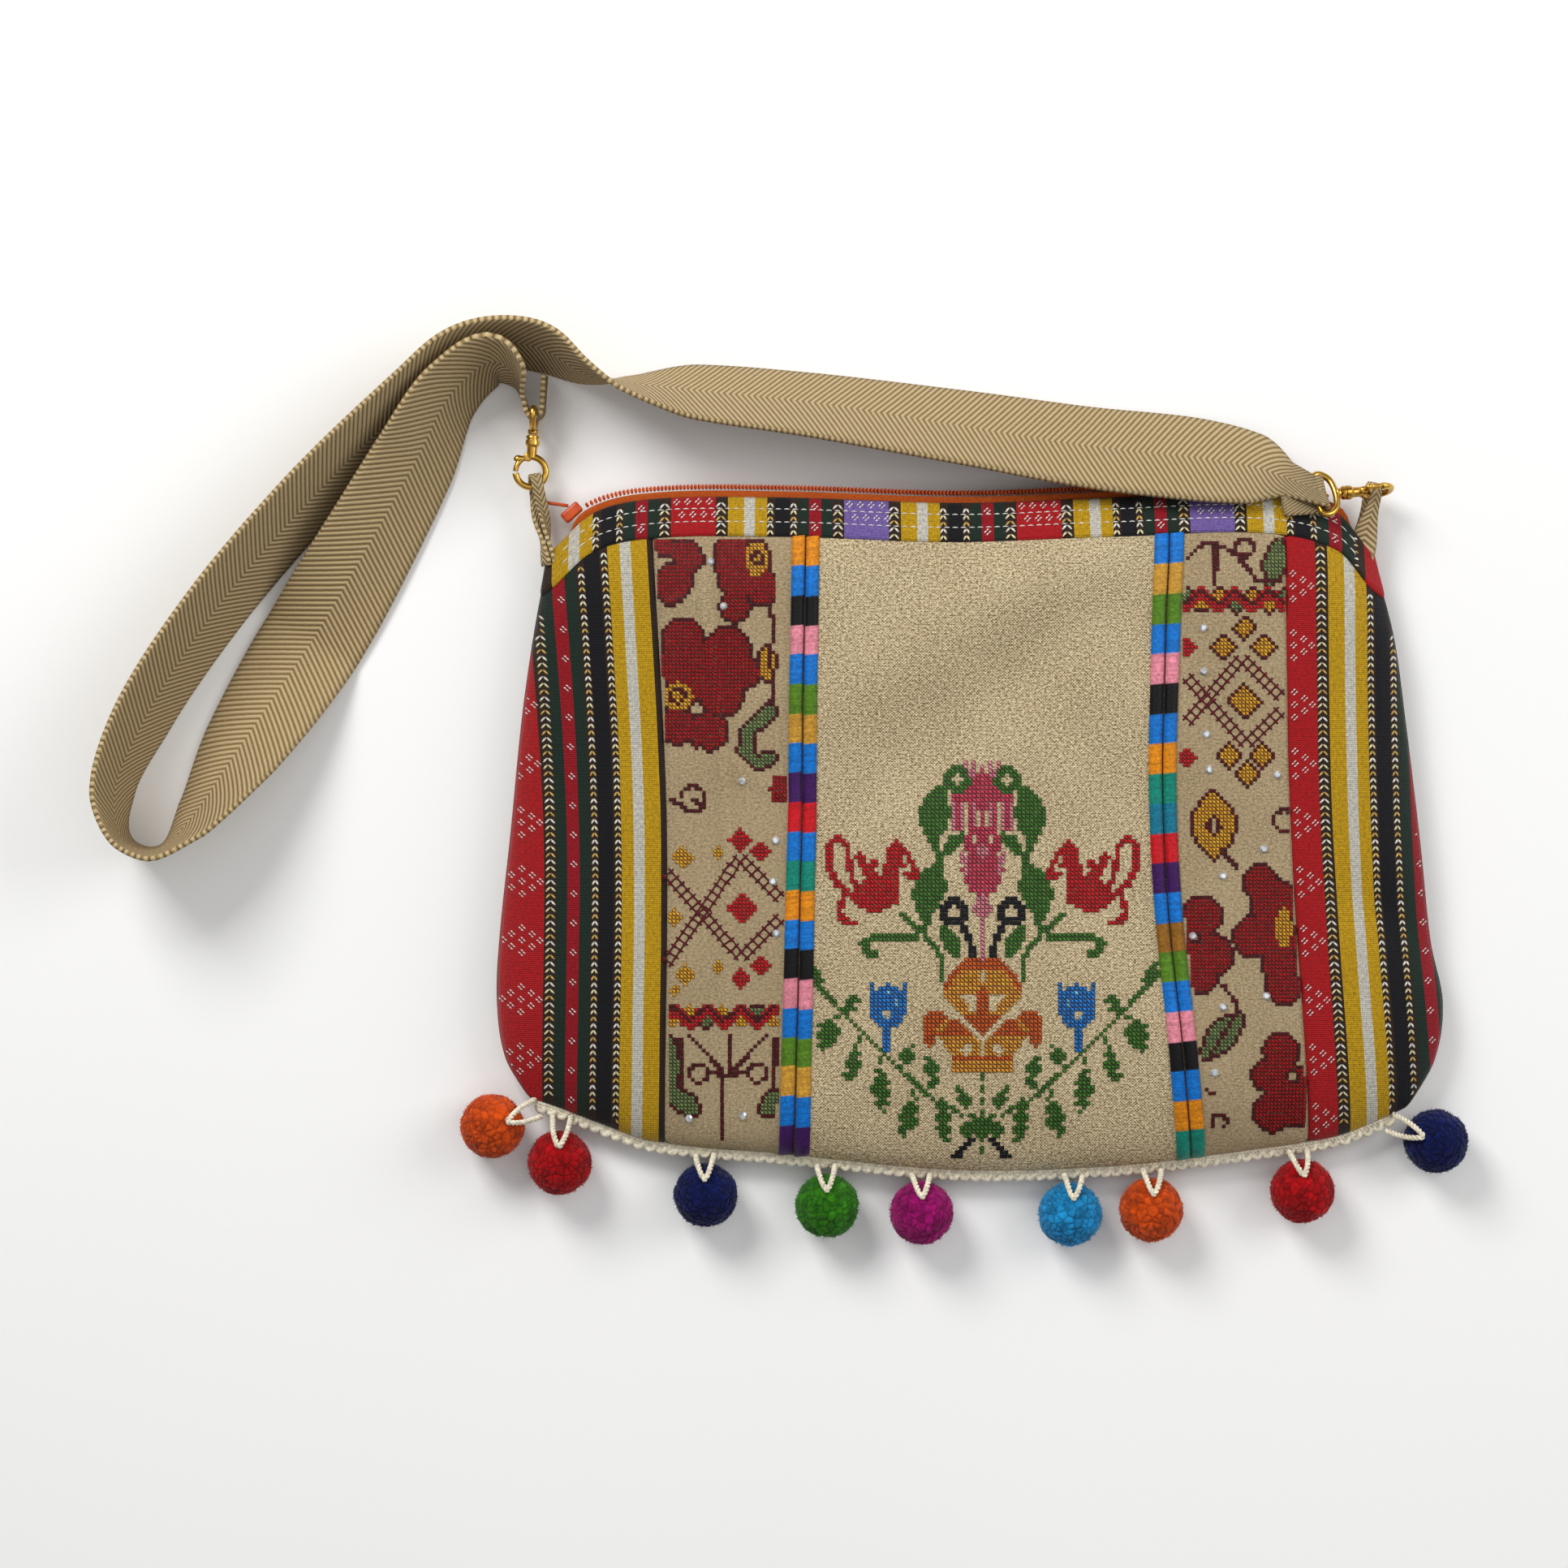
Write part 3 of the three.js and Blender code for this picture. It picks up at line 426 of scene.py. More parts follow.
def cloth_piece(name, columns, rows, place, finish, thick, offset=-1.0):
    """A sheet from a grid: place gives points and cut sizes in millimetres."""
    grid = bpy.ops.mesh.primitive_grid_add
    piece = primitive(name, grid, x_subdivisions=columns, y_subdivisions=rows, size=1)
    mesh = piece.data
    u, v = (places_of(mesh)[:, :2] + 0.5).T
    spots, cut = place(u, v)
    put_places(mesh, spots)
    set_uv(mesh, cut)
    wall = piece.modifiers.new("wall", "SOLIDIFY")
    wall.thickness = thick * MM
    wall.offset = offset
    bpy.ops.object.modifier_apply(modifier="wall")
    bpy.ops.object.shade_smooth()
    mesh.materials.clear()
    mesh.materials.append(finish.material)
    return piece


def done(piece, slot, *nodes, body="bag"):
    """Let a piece ride and stand for its solids."""
    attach(piece, body)
    if nodes:
        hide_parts(*nodes)
    return piece


def cut_sheet(piece):
    """Measure a piece of cloth's flat size, from its own map, and the area of one face; the results are not
    used.
    """
    mesh = piece.data
    places = np.empty(len(mesh.loops) * 2)
    mesh.uv_layers["cut"].data.foreach_get("uv", places)
    width, length = np.ptp(places.reshape(-1, 2), axis=0) * MM
    area = sum(face.area for face in mesh.polygons) / 2
    length = max(length, area / width) + 0.001


# Camera straight above the lying bag, with the zip at the top.
FRAME_WIDTH = 0.585
LENS = 100.0
SENSOR = 36.0
camera = linked("camera", bpy.data.cameras.new("camera"))
camera.data.lens = LENS
camera.data.sensor_width = SENSOR
middle = [(a + b) / 2 for a, b in zip(*cad_box)]
camera.location = (middle[0], middle[1], FRAME_WIDTH * LENS / SENSOR)
bpy.context.scene.camera = camera


# Floor and lamps, in metres and watts: place, size and power of each lamp.
FLOOR_SIZE = 6.0
LAMPS = {
    "window": (vec(-0.9, 1.2, 1.2), 0.8, 26), "ceiling": (vec(0.2, 0.0, 2.2), 2.4, 11),
    "fill": (vec(1.2, 0.5, 0.9), 1.0, 11)}
LAMP_AIM = vec(-0.05, 0.02, 0.0)
ROOM_COLOUR, ROOM_LIGHT = (0.95, 0.97, 1.0, 1), 0.3


def stage_set():
    floor = primitive("floor", bpy.ops.mesh.primitive_plane_add, size=FLOOR_SIZE)
    pale = Finish("floor_paper", roughness=0.9)
    shade = pale.noise(pale.place(), 2.0)
    pale.colour(pale.ramp(shade, ((0.0, rgb(236, 235, 233)), (1.0, rgb(244, 243, 241)))))
    floor.data.materials.append(pale.material)
    for name, (spot, size, power) in LAMPS.items():
        lamp = bpy.data.lights.new(name, "AREA")
        lamp.size = size
        lamp.energy = power
        light = linked(name, lamp)
        light.location = spot
        aim = unit(LAMP_AIM - spot)
        light.rotation_euler = (math.acos(-aim[2]), 0, math.atan2(-aim[0], aim[1]))
    world = bpy.data.worlds.new("studio")
    world.use_nodes = True
    colour, strength = world.node_tree.nodes["Background"].inputs[:2]
    colour.default_value, strength.default_value = ROOM_COLOUR, ROOM_LIGHT
    bpy.context.scene.world = world
    bpy.context.scene.view_settings.view_transform = "Standard"


stage_set()

# Stripe cloth: one repeat, width in millimetres and colour; the broad stripe is red and purple by turns.
RED, PURPLE, BROWN, YELLOW = rgb(203, 22, 30), rgb(138, 112, 192), rgb(58, 40, 28), rgb(226, 176, 14)
SILVER, BLACK, GREEN, CRIMSON = rgb(238, 232, 216), rgb(20, 19, 26), rgb(30, 52, 40), rgb(176, 12, 34)
REPEAT = (
    ("flowers", 16.0, RED), ("braid", 4.7, BROWN), ("satin", 5.7, YELLOW), ("lurex", 4.0, SILVER),
    ("satin", 4.6, YELLOW), ("braid", 3.0, BROWN), ("plain", 5.6, BLACK), ("braid", 2.9, BROWN),
    ("plain", 4.2, GREEN), ("dice", 4.3, CRIMSON), ("plain", 4.0, GREEN), ("braid", 4.7, BROWN))
REPEAT_WIDTH = sum(width for _, width, _ in REPEAT)


def stripes():
    """Every stripe of a red and a purple repeat: kind, where it starts, width and colour."""
    start = 0.0
    for broad in (RED, PURPLE):
        for kind, width, colour in REPEAT:
            yield kind, start, width, broad if kind == "flowers" else colour
            start += width


def striped_cloth():
    cloth = Finish("striped_cloth", roughness=0.7, sheen_weight=0.06)
    place, across, down = cloth.uv()
    share = cloth.math("FRACT", across / (2 * REPEAT_WIDTH))
    stops = [(start / (2 * REPEAT_WIDTH), colour) for _, start, _, colour in stripes()]
    dyes = cloth.ramp(share, stops, "CONSTANT")
    rib = cloth.wave(across + cloth.noise(place, 0.8) * 0.5, 0.62) * cloth.wave(down, 0.74)
    worn = cloth.noise(place, 0.9, 3.0)
    tone = cloth.ramp(rib * 0.45 + worn * 0.6, ((0.2, rgb(150, 150, 150)), (0.75, rgb(255, 255, 255))))
    cloth.colour(cloth.multiply(dyes, tone))
    cloth.rough(0.45 + 0.4 * worn)
    cloth.bump(rib + worn * 0.5, 0.00025)
    return cloth


def plain_cloth(name, light, dark, pitch, fleck):
    """Fine even weave with flecked yarn."""
    cloth = Finish(name, roughness=0.92, sheen_weight=0.05)
    place, across, down = cloth.uv()
    warp, weft = cloth.wave(across, pitch), cloth.wave(down, pitch)
    weave = cloth.math("ABSOLUTE", warp - weft)
    drawn_out = cloth.node("Mapping", Vector=place, Scale=(0.5, 1.0, 1.0))
    fibre = cloth.noise(place, 1.3) + cloth.noise(drawn_out, 1.5) - 0.5
    yarn = (fibre - 0.5) * fleck + 0.5 + (cloth.noise(place, 0.03) - 0.5) * 0.2 + (weave - 0.4) * 0.25
    cloth.colour(cloth.ramp(yarn, ((0.2, dark), (0.8, light))))
    cloth.bump(weave + yarn, 0.0003)
    return cloth


def jute_cloth():
    """Coarse open weave: thick uneven threads, with painted shade in the dips and the dark holes between
    them.
    """
    cloth = Finish("jute_weave", roughness=0.97)
    pitch = 1.6
    place, across, down = cloth.uv()
    wander = cloth.noise(place, 0.12) * 1.2
    a, b = across + wander, down + wander
    swing_a, swing_b = (cloth.math("SINE", way * (math.pi / pitch)) for way in (a, b))
    over = swing_a * swing_b
    warp, weft = cloth.math("ABSOLUTE", swing_a), cloth.math("ABSOLUTE", swing_b)
    height = cloth.math("MAXIMUM", warp * (0.75 + over * 0.25), weft * (0.75 - over * 0.25))
    warp_no, weft_no = cloth.math("FLOOR", a / pitch) * 3.7, cloth.math("FLOOR", b / pitch) * 3.7
    slub = (cloth.noise(cloth.node("CombineXYZ", X=warp_no, Y=b * 0.035), 1.0)
            + cloth.noise(cloth.node("CombineXYZ", X=a * 0.035, Y=weft_no), 1.0))
    # Painted shade: darker where the weave dips and darkest in its holes; the slubs are the yarn's own uneven
    # tone.
    tone = height * 0.75 + slub * 0.5 - 0.42
    cloth.colour(cloth.ramp(tone, (
        (0.22, rgb(54, 46, 35)), (0.46, rgb(142, 132, 112)), (0.85, rgb(220, 212, 194)))))
    cloth.bump(height + slub * 0.3, 0.0009)
    return cloth


def webbing():
    """Herringbone webbing with the point of each rib on the middle line."""
    cloth = Finish("webbing", roughness=0.9, sheen_weight=0.06)
    place, across, run = cloth.uv()
    slant = cloth.math("ABSOLUTE", across) * 0.62
    rib = cloth.wave(run - slant + cloth.noise(place, 0.5) * 0.25, 2.25)
    thread = cloth.wave(across + run * 0.6, 0.55)
    tone = cloth.math("POWER", rib, 0.7) * 0.8 + thread * 0.12 + cloth.noise(place, 0.9, 3.0) * 0.22
    cloth.colour(cloth.ramp(tone, (
        (0.12, rgb(98, 76, 44)), (0.45, rgb(160, 135, 93)), (1.0, rgb(200, 178, 136)))))
    cloth.bump(rib + thread * 0.2, 0.0006)
    return cloth


def thread_finish(name, sheen, roughness, grain):
    """Dyed thread: the colour comes from each stitch or strand."""
    thread = Finish(name, roughness=roughness, sheen_weight=sheen)
    dye = thread.node("Attribute", {"attribute_name": "tint"})
    place = thread.place()
    fibre = thread.noise(place, grain, 3.0)
    tone = thread.ramp(fibre, ((0.25, rgb(185, 185, 185)), (0.7, rgb(255, 255, 255))))
    thread.colour(thread.multiply(dye, tone))
    thread.bump(thread.noise(place, grain * 1.7), 0.0002)
    return thread


def gold_finish():
    gold = Finish("gold_plate", 0.5, metallic=1.0, roughness=0.25)
    worn = gold.noise(gold.place(), 160.0, 3.0)
    gold.colour(gold.ramp(worn, ((0.3, rgb(176, 128, 46)), (0.75, rgb(232, 190, 98)))))
    gold.rough(0.16 + 0.22 * worn)
    return gold


def lacquer(name, light, dark, roughness):
    paint = Finish(name, 0.5, roughness=roughness)
    worn = paint.noise(paint.place(), 220.0, 3.0)
    paint.colour(paint.ramp(worn, ((0.3, dark), (0.75, light))))
    paint.bump(worn, 0.00008)
    return paint


STRIPED = striped_cloth()
LINEN = plain_cloth("linen_cloth", rgb(241, 221, 179), rgb(132, 110, 74), 1.1, 1.25)
GREIGE = plain_cloth("greige_cloth", rgb(220, 196, 156), rgb(140, 118, 82), 0.8, 0.8)
JUTE = jute_cloth()
WEB = webbing()
SILK = thread_finish("silk_thread", 0.06, 0.5, 900.0)
YARN = thread_finish("pompom_yarn", 0.12, 1.0, 260.0)
COTTON = thread_finish("cotton_cord", 0.08, 0.85, 700.0)
GOLD = gold_finish()
ZIP_CLOTH = lacquer("zip_coil_orange", rgb(232, 104, 26), rgb(196, 70, 12), 0.5)
ZIP_METAL = lacquer("zip_lacquer_orange", rgb(214, 84, 20), rgb(160, 52, 10), 0.32)
ZIP_TAPE_CLOTH = plain_cloth("zip_tape_weave", rgb(230, 112, 40), rgb(188, 72, 18), 0.6, 0.4)
UNDYED = (1, 1, 1, 1)
UP = vec(0, 0, 1)

# Front strips: how their seams sink, the share that goes under the band, and how rows crowd at the ends.
SEAM_SINK, SEAM_SINK_WIDTH, NO_SEAM = 0.9, 1.4, 99.0
UNDER_BAND = 0.004
STRIP_EASE, RIM_EASE = 0.5, 0.6


def between(left_at, right_at, t_of=None, ends=(1, 1)):
    """Place a front strip between two edges; its seam edges sink a little."""
    def place(u, v):
        share = eased(v, STRIP_EASE)
        guess = share * BAND_SHARE
        left, right = left_at(guess), right_at(guess)
        x = lerp(left, right, u)
        rise = share * (band_rise(x) + UNDER_BAND)
        from_edge = np.minimum(np.where(ends[0], x - left, NO_SEAM), np.where(ends[1], right - x, NO_SEAM))
        spots = lifted(front, x, rise, CLOTH - SEAM_SINK * np.exp(-(from_edge / SEAM_SINK_WIDTH) ** 2))
        cut = np.stack([x if t_of is None else t_of(x, left, right), spots[:, 1]], axis=-1)
        return spots, cut
    return place


def seam(name):
    return lambda rise: seam_at(name, rise)


def edge(side):
    return lambda rise: side_at(side, rise)


def middle_of(a, b):
    return lambda rise: (seam_at(a, rise) + seam_at(b, rise)) / 2


# Where the stripe repeat starts on each strip, counted from its inner seam.
LEFT_STRIPE, RIGHT_STRIPE, BAND_STRIPE = REPEAT_WIDTH + 18.7, 5.5, 110.5


def sheet_pieces(held, *rows):
    """Sheets of cloth by name, grid, place, finish and slot; held is not used."""
    for name, columns, lines, place, finish, slot in rows:
        piece = cloth_piece(name + "_cloth", columns, lines, place, finish, CLOTH)
        cut_sheet(done(piece, slot, name))


def front_cloth():
    left_cord, right_cord = middle_of("flower_left", "cords_left"), middle_of("cords_right", "flower_right")
    stripe_left, stripe_right = seam("stripe_left"), seam("stripe_right")
    left_stripes = between(edge("left"), stripe_left, lambda x, a, b: LEFT_STRIPE + b - x, (0, 1))
    right_stripes = between(stripe_right, edge("right"), lambda x, a, b: RIGHT_STRIPE + x - a, (1, 0))
    sheet_pieces(
        "stretched",
        ("striped_strip_left", 40, 150, left_stripes, STRIPED, "striped_cloth"),
        ("striped_strip_right", 40, 150, right_stripes, STRIPED, "striped_cloth"),
        ("flowered_strip_left", 90, 150, between(stripe_left, left_cord), GREIGE, "flowered_cloth"),
        ("flowered_strip_right", 40, 150, between(right_cord, stripe_right), GREIGE, "flowered_cloth"),
        ("linen_panel", 110, 180, between(left_cord, right_cord), LINEN, "linen"))


def bands_and_back():
    def band(u, v):
        guess = lerp(BAND_SHARE, 1, v)
        x = lerp(side_at("left", guess) + GAP, side_at("right", guess) - GAP, eased(u, RIM_EASE))
        return x, lerp(band_rise(x), 1, v), np.stack([x + BAND_STRIPE, v * BAND_HEIGHT], axis=-1)

    def band_place(u, v):
        x, rise, cut = band(u, v)
        roll = BAND_LIFT + CLOTH - 0.7 * np.exp(-(v / 0.06) ** 2) - 0.5 * np.exp(-((1 - v) / 0.06) ** 2)
        return lifted(front, x, rise, roll), cut

    def back_band_place(u, v):
        x, rise, cut = band(1 - u, v)
        return back(x, rise), cut

    def back_place(u, v):
        share = eased(v, RIM_EASE)
        guess = share * BAND_SHARE
        x = lerp(side_at("right", guess), side_at("left", guess), eased(u, RIM_EASE))
        spots = back(x, share * band_rise(x))
        return spots, spots[:, :2]

    sheet_pieces("stretched", ("top_band_front", 220, 16, band_place, STRIPED, "striped_cloth"))
    sheet_pieces("laid", ("top_band_back", 160, 10, back_band_place, STRIPED, "striped_cloth"),
                 ("back_panel", 120, 100, back_place, JUTE, "jute"))


front_cloth()
bands_and_back()


class Pile:
    """Points, faces and dyes of many small things, joined into one mesh."""

    def __init__(self):
        self.points, self.faces, self.tints = [], [], []
        self.count = 0

    def add(self, points, faces, tint):
        points = np.asarray(points, float).reshape(-1, 3)
        self.points.append(points)
        self.faces += [[k + self.count for k in face] for face in faces]
        self.tints.append(np.broadcast_to(np.asarray(tint, float), (len(points), 4)))
        self.count += len(points)

    def piece(self, name, finish):
        return mesh_piece(name, np.concatenate(self.points), self.faces, finish, np.concatenate(self.tints))


def curve_through(points, count, closed=False):
    """Evenly spread points on a smooth curve through the given ones."""
    points = np.asarray(points, float)
    if closed:
        points = np.concatenate([points[-1:], points, points[:2]])
    else:
        points = np.concatenate([[2 * points[0] - points[1]], points, [2 * points[-1] - points[-2]]])
    fine = []
    for p0, p1, p2, p3 in zip(points, points[1:], points[2:], points[3:]):
        d0, d1, d2 = (max(np.linalg.norm(b - a), 1e-6) ** 0.5 for a, b in ((p0, p1), (p1, p2), (p2, p3)))
        m1 = ((p1 - p0) / d0 - (p2 - p0) / (d0 + d1) + (p2 - p1) / d1) * d1
        m2 = ((p2 - p1) / d1 - (p3 - p1) / (d1 + d2) + (p3 - p2) / d2) * d1
        t = np.linspace(0, 1, 17)[:-1, None]
        fine.append((2 * t ** 3 - 3 * t ** 2 + 1) * p1 + (t ** 3 - 2 * t ** 2 + t) * m1
                    + (3 * t ** 2 - 2 * t ** 3) * p2 + (t ** 3 - t ** 2) * m2)
    fine = np.concatenate(fine + [points[-2:-1]])
    reach = reach_along(fine)
    at = np.linspace(0, reach[-1], count + 1)[:-1] if closed else np.linspace(0, reach[-1], count)
    return np.stack([np.interp(at, reach, fine[:, k]) for k in range(3)], axis=-1)


def carried_frames(points, closed=False):
    """Two side directions along a curve that turn as little as they can."""
    if closed:
        runs = unit(np.roll(points, -1, axis=0) - np.roll(points, 1, axis=0))
    else:
        runs = unit(np.gradient(points, axis=0))
    side = np.cross(runs[0], (0, 0, 1) if abs(runs[0][2]) < 0.9 else (1, 0, 0))
    sides = []
    for run in runs:
        side = side - run * side.dot(run)
        side = side / np.linalg.norm(side)
        sides.append(side)
    return np.array(sides), np.cross(runs, sides)


def tube_faces(rings, sides, closed=False):
    faces = []
    for i in range(rings if closed else rings - 1):
        j = (i + 1) % rings
        for k in range(sides):
            m = (k + 1) % sides
            faces.append((i * sides + k, i * sides + m, j * sides + m, j * sides + k))
    if not closed:
        faces.append(tuple(reversed(range(sides))))
        faces.append(tuple((rings - 1) * sides + k for k in range(sides)))
    return faces


def tube(points, radius, sides, closed=False):
    """Points and faces of a round rod along a curve."""
    points = np.asarray(points, float)
    a, b = carried_frames(points, closed)
    radius = np.broadcast_to(np.asarray(radius, float), (len(points),))[:, None, None]
    turn = round_turns(sides)
    ring = a[:, None] * np.cos(turn)[None, :, None] + b[:, None] * np.sin(turn)[None, :, None]
    return (points[:, None] + ring * radius).reshape(-1, 3), tube_faces(len(points), sides, closed)


def plied(pile, points, strand, pitch, tint, plies=2):
    """A twisted cord: strands wound round each other along a curve."""
    points = np.asarray(points, float)
    a, b = carried_frames(points)
    reach = reach_along(points)
    for ply in range(plies):
        turn = (2 * math.pi * (reach / pitch + ply / plies))[:, None]
        pile.add(*tube(points + (a * np.cos(turn) + b * np.sin(turn)) * strand * 0.85, strand, 6), tint)


# Hooks: the neck's start, the axis towards the ring, the lever's side, and the eye's long way.
HOOKS = {
    "left": (vec(-162, 148, 10.6), vec(-0.06, -1, 0), vec(-1, 0, 0.1), vec(0, 0, 1)),
    "right": (vec(136.8, 126.2, 16.4), vec(0.965, 0.08, -0.22), vec(0.2, 0.25, 0.94), vec(0, -0.88, 0.47))}
RING, WIRE, GATE_WIRE, NECK, EYE_DEPTH = 5.6, 1.25, 1.0, 8.0, 9.5
GATE_FROM, GATE_PIVOT = 95, 166


def hook_basis(side):
    seat, axis, lever, eye_up = HOOKS[side]
    axis = unit(axis)
    across = unit(np.cross(axis, lever))
    return seat, axis, np.cross(across, axis), across, unit(eye_up - axis * eye_up.dot(axis))


def ring_centre(side):
    seat, axis, *_ = hook_basis(side)
    return seat + axis * (NECK + RING)


def strap_fold(side, flip):
    """Stations of the strap's end turned round an eye's bar and laid back."""
    seat, axis, _, _, up = hook_basis(side)
    bar, away, across = seat - axis * EYE_DEPTH, -axis, up * flip
    radius = WIRE + GAP + 0.35 + WEBBING / 2
    out = unit(np.cross(away, across))
    turns = np.linspace(0, math.pi, 17)
    spots = [bar + out * radius * math.cos(t) - away * radius * math.sin(t) for t in turns]
    spots += [spots[-1] + away * STRAP_TAIL * share for share in np.linspace(0.1, 1, 8)]
    return [(spot, across, STRAP_END_WIDTH) for spot in spots]


def strap_stations():
    count = len(STRAP_ROUTE["x"])
    rows = dict(STRAP_ROUTE, order=np.arange(count, dtype=float))
    knots = np.stack([rows["x"], rows["y"], np.zeros(count)], axis=-1)
    run_points = curve_through(knots, STRAP_STEPS)
    reach = reach_along(run_points)
    nearest = [np.argmin(np.linalg.norm(run_points - knot, axis=1)) for knot in knots]
    order = np.interp(reach, reach[nearest], rows["order"])
    runs = unit(np.gradient(run_points, axis=0))
    roll = np.radians(along(rows, "order", "roll", order))
    width = along(rows, "order", "width", order)
    across = np.stack([-runs[:, 1] * np.cos(roll), runs[:, 0] * np.cos(roll), np.sin(roll)], axis=-1)
    run_points[:, 2] = along(rows, "order", "lift", order) + WEBBING / 2 + width / 2 * np.abs(np.sin(roll))
    middle_run = list(zip(run_points, across, width))
    return strap_fold("left", -1)[::-1] + middle_run + strap_fold("right", 1)


def ribbon_piece(name, stations, full_width, thick, columns):
    """Webbing through stations of a centre, a width direction and a width."""
    centres, across, width = (np.array(row) for row in zip(*stations))
    reach = reach_along(centres)
    runs = unit(np.gradient(centres, axis=0))
    normal = unit(np.cross(runs, across))
    rows = len(stations) - 1

    def place(u, v):
        i = np.rint(v * rows).astype(int)
        off = u - 0.5
        cup = 0.35 * np.cos(reach[i] / 21) * (off * off * 4 - 0.33)
        spots = centres[i] + across[i] * (off * width[i])[:, None] + normal[i] * cup[:, None]
        return spots, np.stack([off * full_width, reach[i]], axis=-1)

    return cloth_piece(name, columns, rows, place, WEB, thick, 0.0), reach[-1]


def strap():
    piece, length = ribbon_piece("strap_webbing", strap_stations(), STRAP_WIDTH, WEBBING, 14)
    done(piece, "webbing", "strap")


# Tabs: width at the seat and at the fold, thickness, and half the gap between the two plies.
TAB_WIDTH, TAB_FOLD_WIDTH, TAB_WEBBING = 9.5, 4.2, 1.5
TAB_PLIES_APART = 1.05
TAB_STEPS = 17
# Each tab: its fold on the ring, seat, fold radius, the ways of its width, and how far it stays full.
TABS = {
    "left": (0.9, 0.42, vec(-156.2, 99.8, 9.4), 3.9, vec(0.3, 0.2, 1), vec(-1, 0.1, 0.2), 0.0),
    "right": (0.0, 0.72, vec(144.4, 98.6, 9.2), 3.7, vec(0.9, -0.3, 0.3), unit(HOOKS["right"][1]), 0.3)}


def tab_stations(seat, fold, radius, seat_across, fold_across, full_to):
    """Webbing from a corner of the bag round a ring and back."""
    run = fold - seat
    length = np.linalg.norm(run)
    run = run / length

    def station(reach, off):
        share = min(max(reach / length, 0), 1)
        across = lerp(seat_across, fold_across, smooth(share))
        across = unit(across - run * across.dot(run))
        width = lerp(TAB_WIDTH, TAB_FOLD_WIDTH, smooth((share - full_to) / 0.6))
        return seat + run * reach + np.cross(run, across) * off, across, width

    shares = np.linspace(0, 1, TAB_STEPS)[:-1]
    opening = [lerp(TAB_PLIES_APART, radius, smooth((s - 0.35) / 0.65)) for s in shares]
    turns = np.linspace(0, math.pi, TAB_STEPS)
    return ([station(s * length, o) for s, o in zip(shares, opening)]
            + [station(length + radius * math.sin(t), radius * math.cos(t)) for t in turns]
            + [station(s * length, -o) for s, o in zip(shares[::-1], opening[::-1])])


def tabs():
    for side, (along_ring, down_ring, seat, radius, seat_across, fold_across, full_to) in TABS.items():
        _, axis, lever, _, _ = hook_basis(side)
        fold = ring_centre(side) + axis * RING * along_ring - lever * RING * down_ring
        stations = tab_stations(seat, fold, radius, seat_across, fold_across, full_to)
        piece, _ = ribbon_piece("tab_" + side + "_webbing", stations, TAB_WIDTH, TAB_WEBBING, 8)
        done(piece, "webbing", "tab_" + side)
        cut_sheet(piece)


# Thread colours of the wound cords, and the blocks of each side from the top.
DYES = {
    "orange": rgb(232, 142, 20), "blue": rgb(14, 118, 208), "black": rgb(14, 13, 17),
    "pink": rgb(236, 142, 158), "green": rgb(88, 132, 30), "gold": rgb(206, 152, 54),
    "purple": rgb(66, 20, 92), "red": rgb(208, 22, 34), "teal": rgb(12, 138, 118), "sea": rgb(14, 120, 148),
    "brown": rgb(150, 100, 30)}
CORD_BLOCKS = {
    "left": "orange blue black pink blue green gold blue purple red blue teal "
            "orange blue black pink blue green gold blue purple",
    "right": "blue gold green blue pink black blue orange teal sea red purple "
             "blue brown green blue pink black blue orange teal"}
CORD_SEAMS = {"left": ("flower_left", "cords_left"), "right": ("cords_right", "flower_right")}
CORD_RINGS, CORD_SIDES = 520, 12
CORD_LIFT, CORD_TALL, CORD_LEAN, CORD_GROOVE, CORD_APART = 1.6, 1.95, 0.25, 0.93, 0.1


def wound_cord(name, seams, share, blocks):
    """Thread wound round a core, a ridge and a groove to each turn, dyed by blocks."""
    v = np.linspace(0, 1, CORD_RINGS)
    a, b = (seam_at(line, v * BAND_SHARE) for line in seams)
    x = lerp(a, b, share)
    centre = lifted(front, x, v * (band_rise(x) + UNDER_BAND / 2), CORD_LIFT)
    wide = (b - a) / 4 - CORD_APART
    turn = round_turns(CORD_SIDES)
    ridge = np.where(np.arange(CORD_RINGS) % 2, 1.0, CORD_GROOVE)
    points = np.repeat(centre[:, None], CORD_SIDES, axis=1)
    points[..., 0] += np.cos(turn) * (wide * ridge)[:, None]
    points[..., 1] += CORD_LEAN * np.sin(turn + math.pi / 2)
    points[..., 2] += np.sin(turn) * (CORD_TALL * ridge)[:, None]
    block = np.minimum((1 - v) * len(blocks), len(blocks) - 1).astype(int)
    tint = np.array([dyed(DYES[blocks[k]], rng.uniform(0.82, 1.12)) for k in block])
    cord = mesh_piece(name + "_thread", points.reshape(-1, 3), tube_faces(CORD_RINGS, CORD_SIDES), SILK,
                      np.repeat(tint, CORD_SIDES, axis=0))
    done(cord, "wound_thread", name)


def wound_cords():
    for side, seams in CORD_SEAMS.items():
        for order, share in ((1, 0.25), (2, 0.75)):
            wound_cord("wound_cord_%s_%d" % (side, order), seams, share, CORD_BLOCKS[side].split())


strap()
tabs()
wound_cords()


# Pompoms: place, colour and where the loop leaves the hem.
YARNS = {
    "orange": rgb(212, 78, 16), "red": rgb(176, 6, 18), "navy": rgb(10, 24, 78), "green": rgb(52, 122, 20),
    "magenta": rgb(160, 14, 106), "sky": rgb(34, 142, 202)}
POMPOMS = (
    (-177, -108, "orange", -159), (-152, -121.5, "red", -150), (-98, -133.5, "navy", -98),
    (-53, -137.5, "green", -53), (-18, -140, "magenta", -18), (37, -140.5, "sky", 38),
    (67, -139, "orange", 67), (123, -132, "red", 121), (172.5, -113.5, "navy", 154))
POMPOM_RADIUS = 12.2
TUFTS, LOOSE_ENDS, CLEFT_WIDTH = 260, 900, 0.07
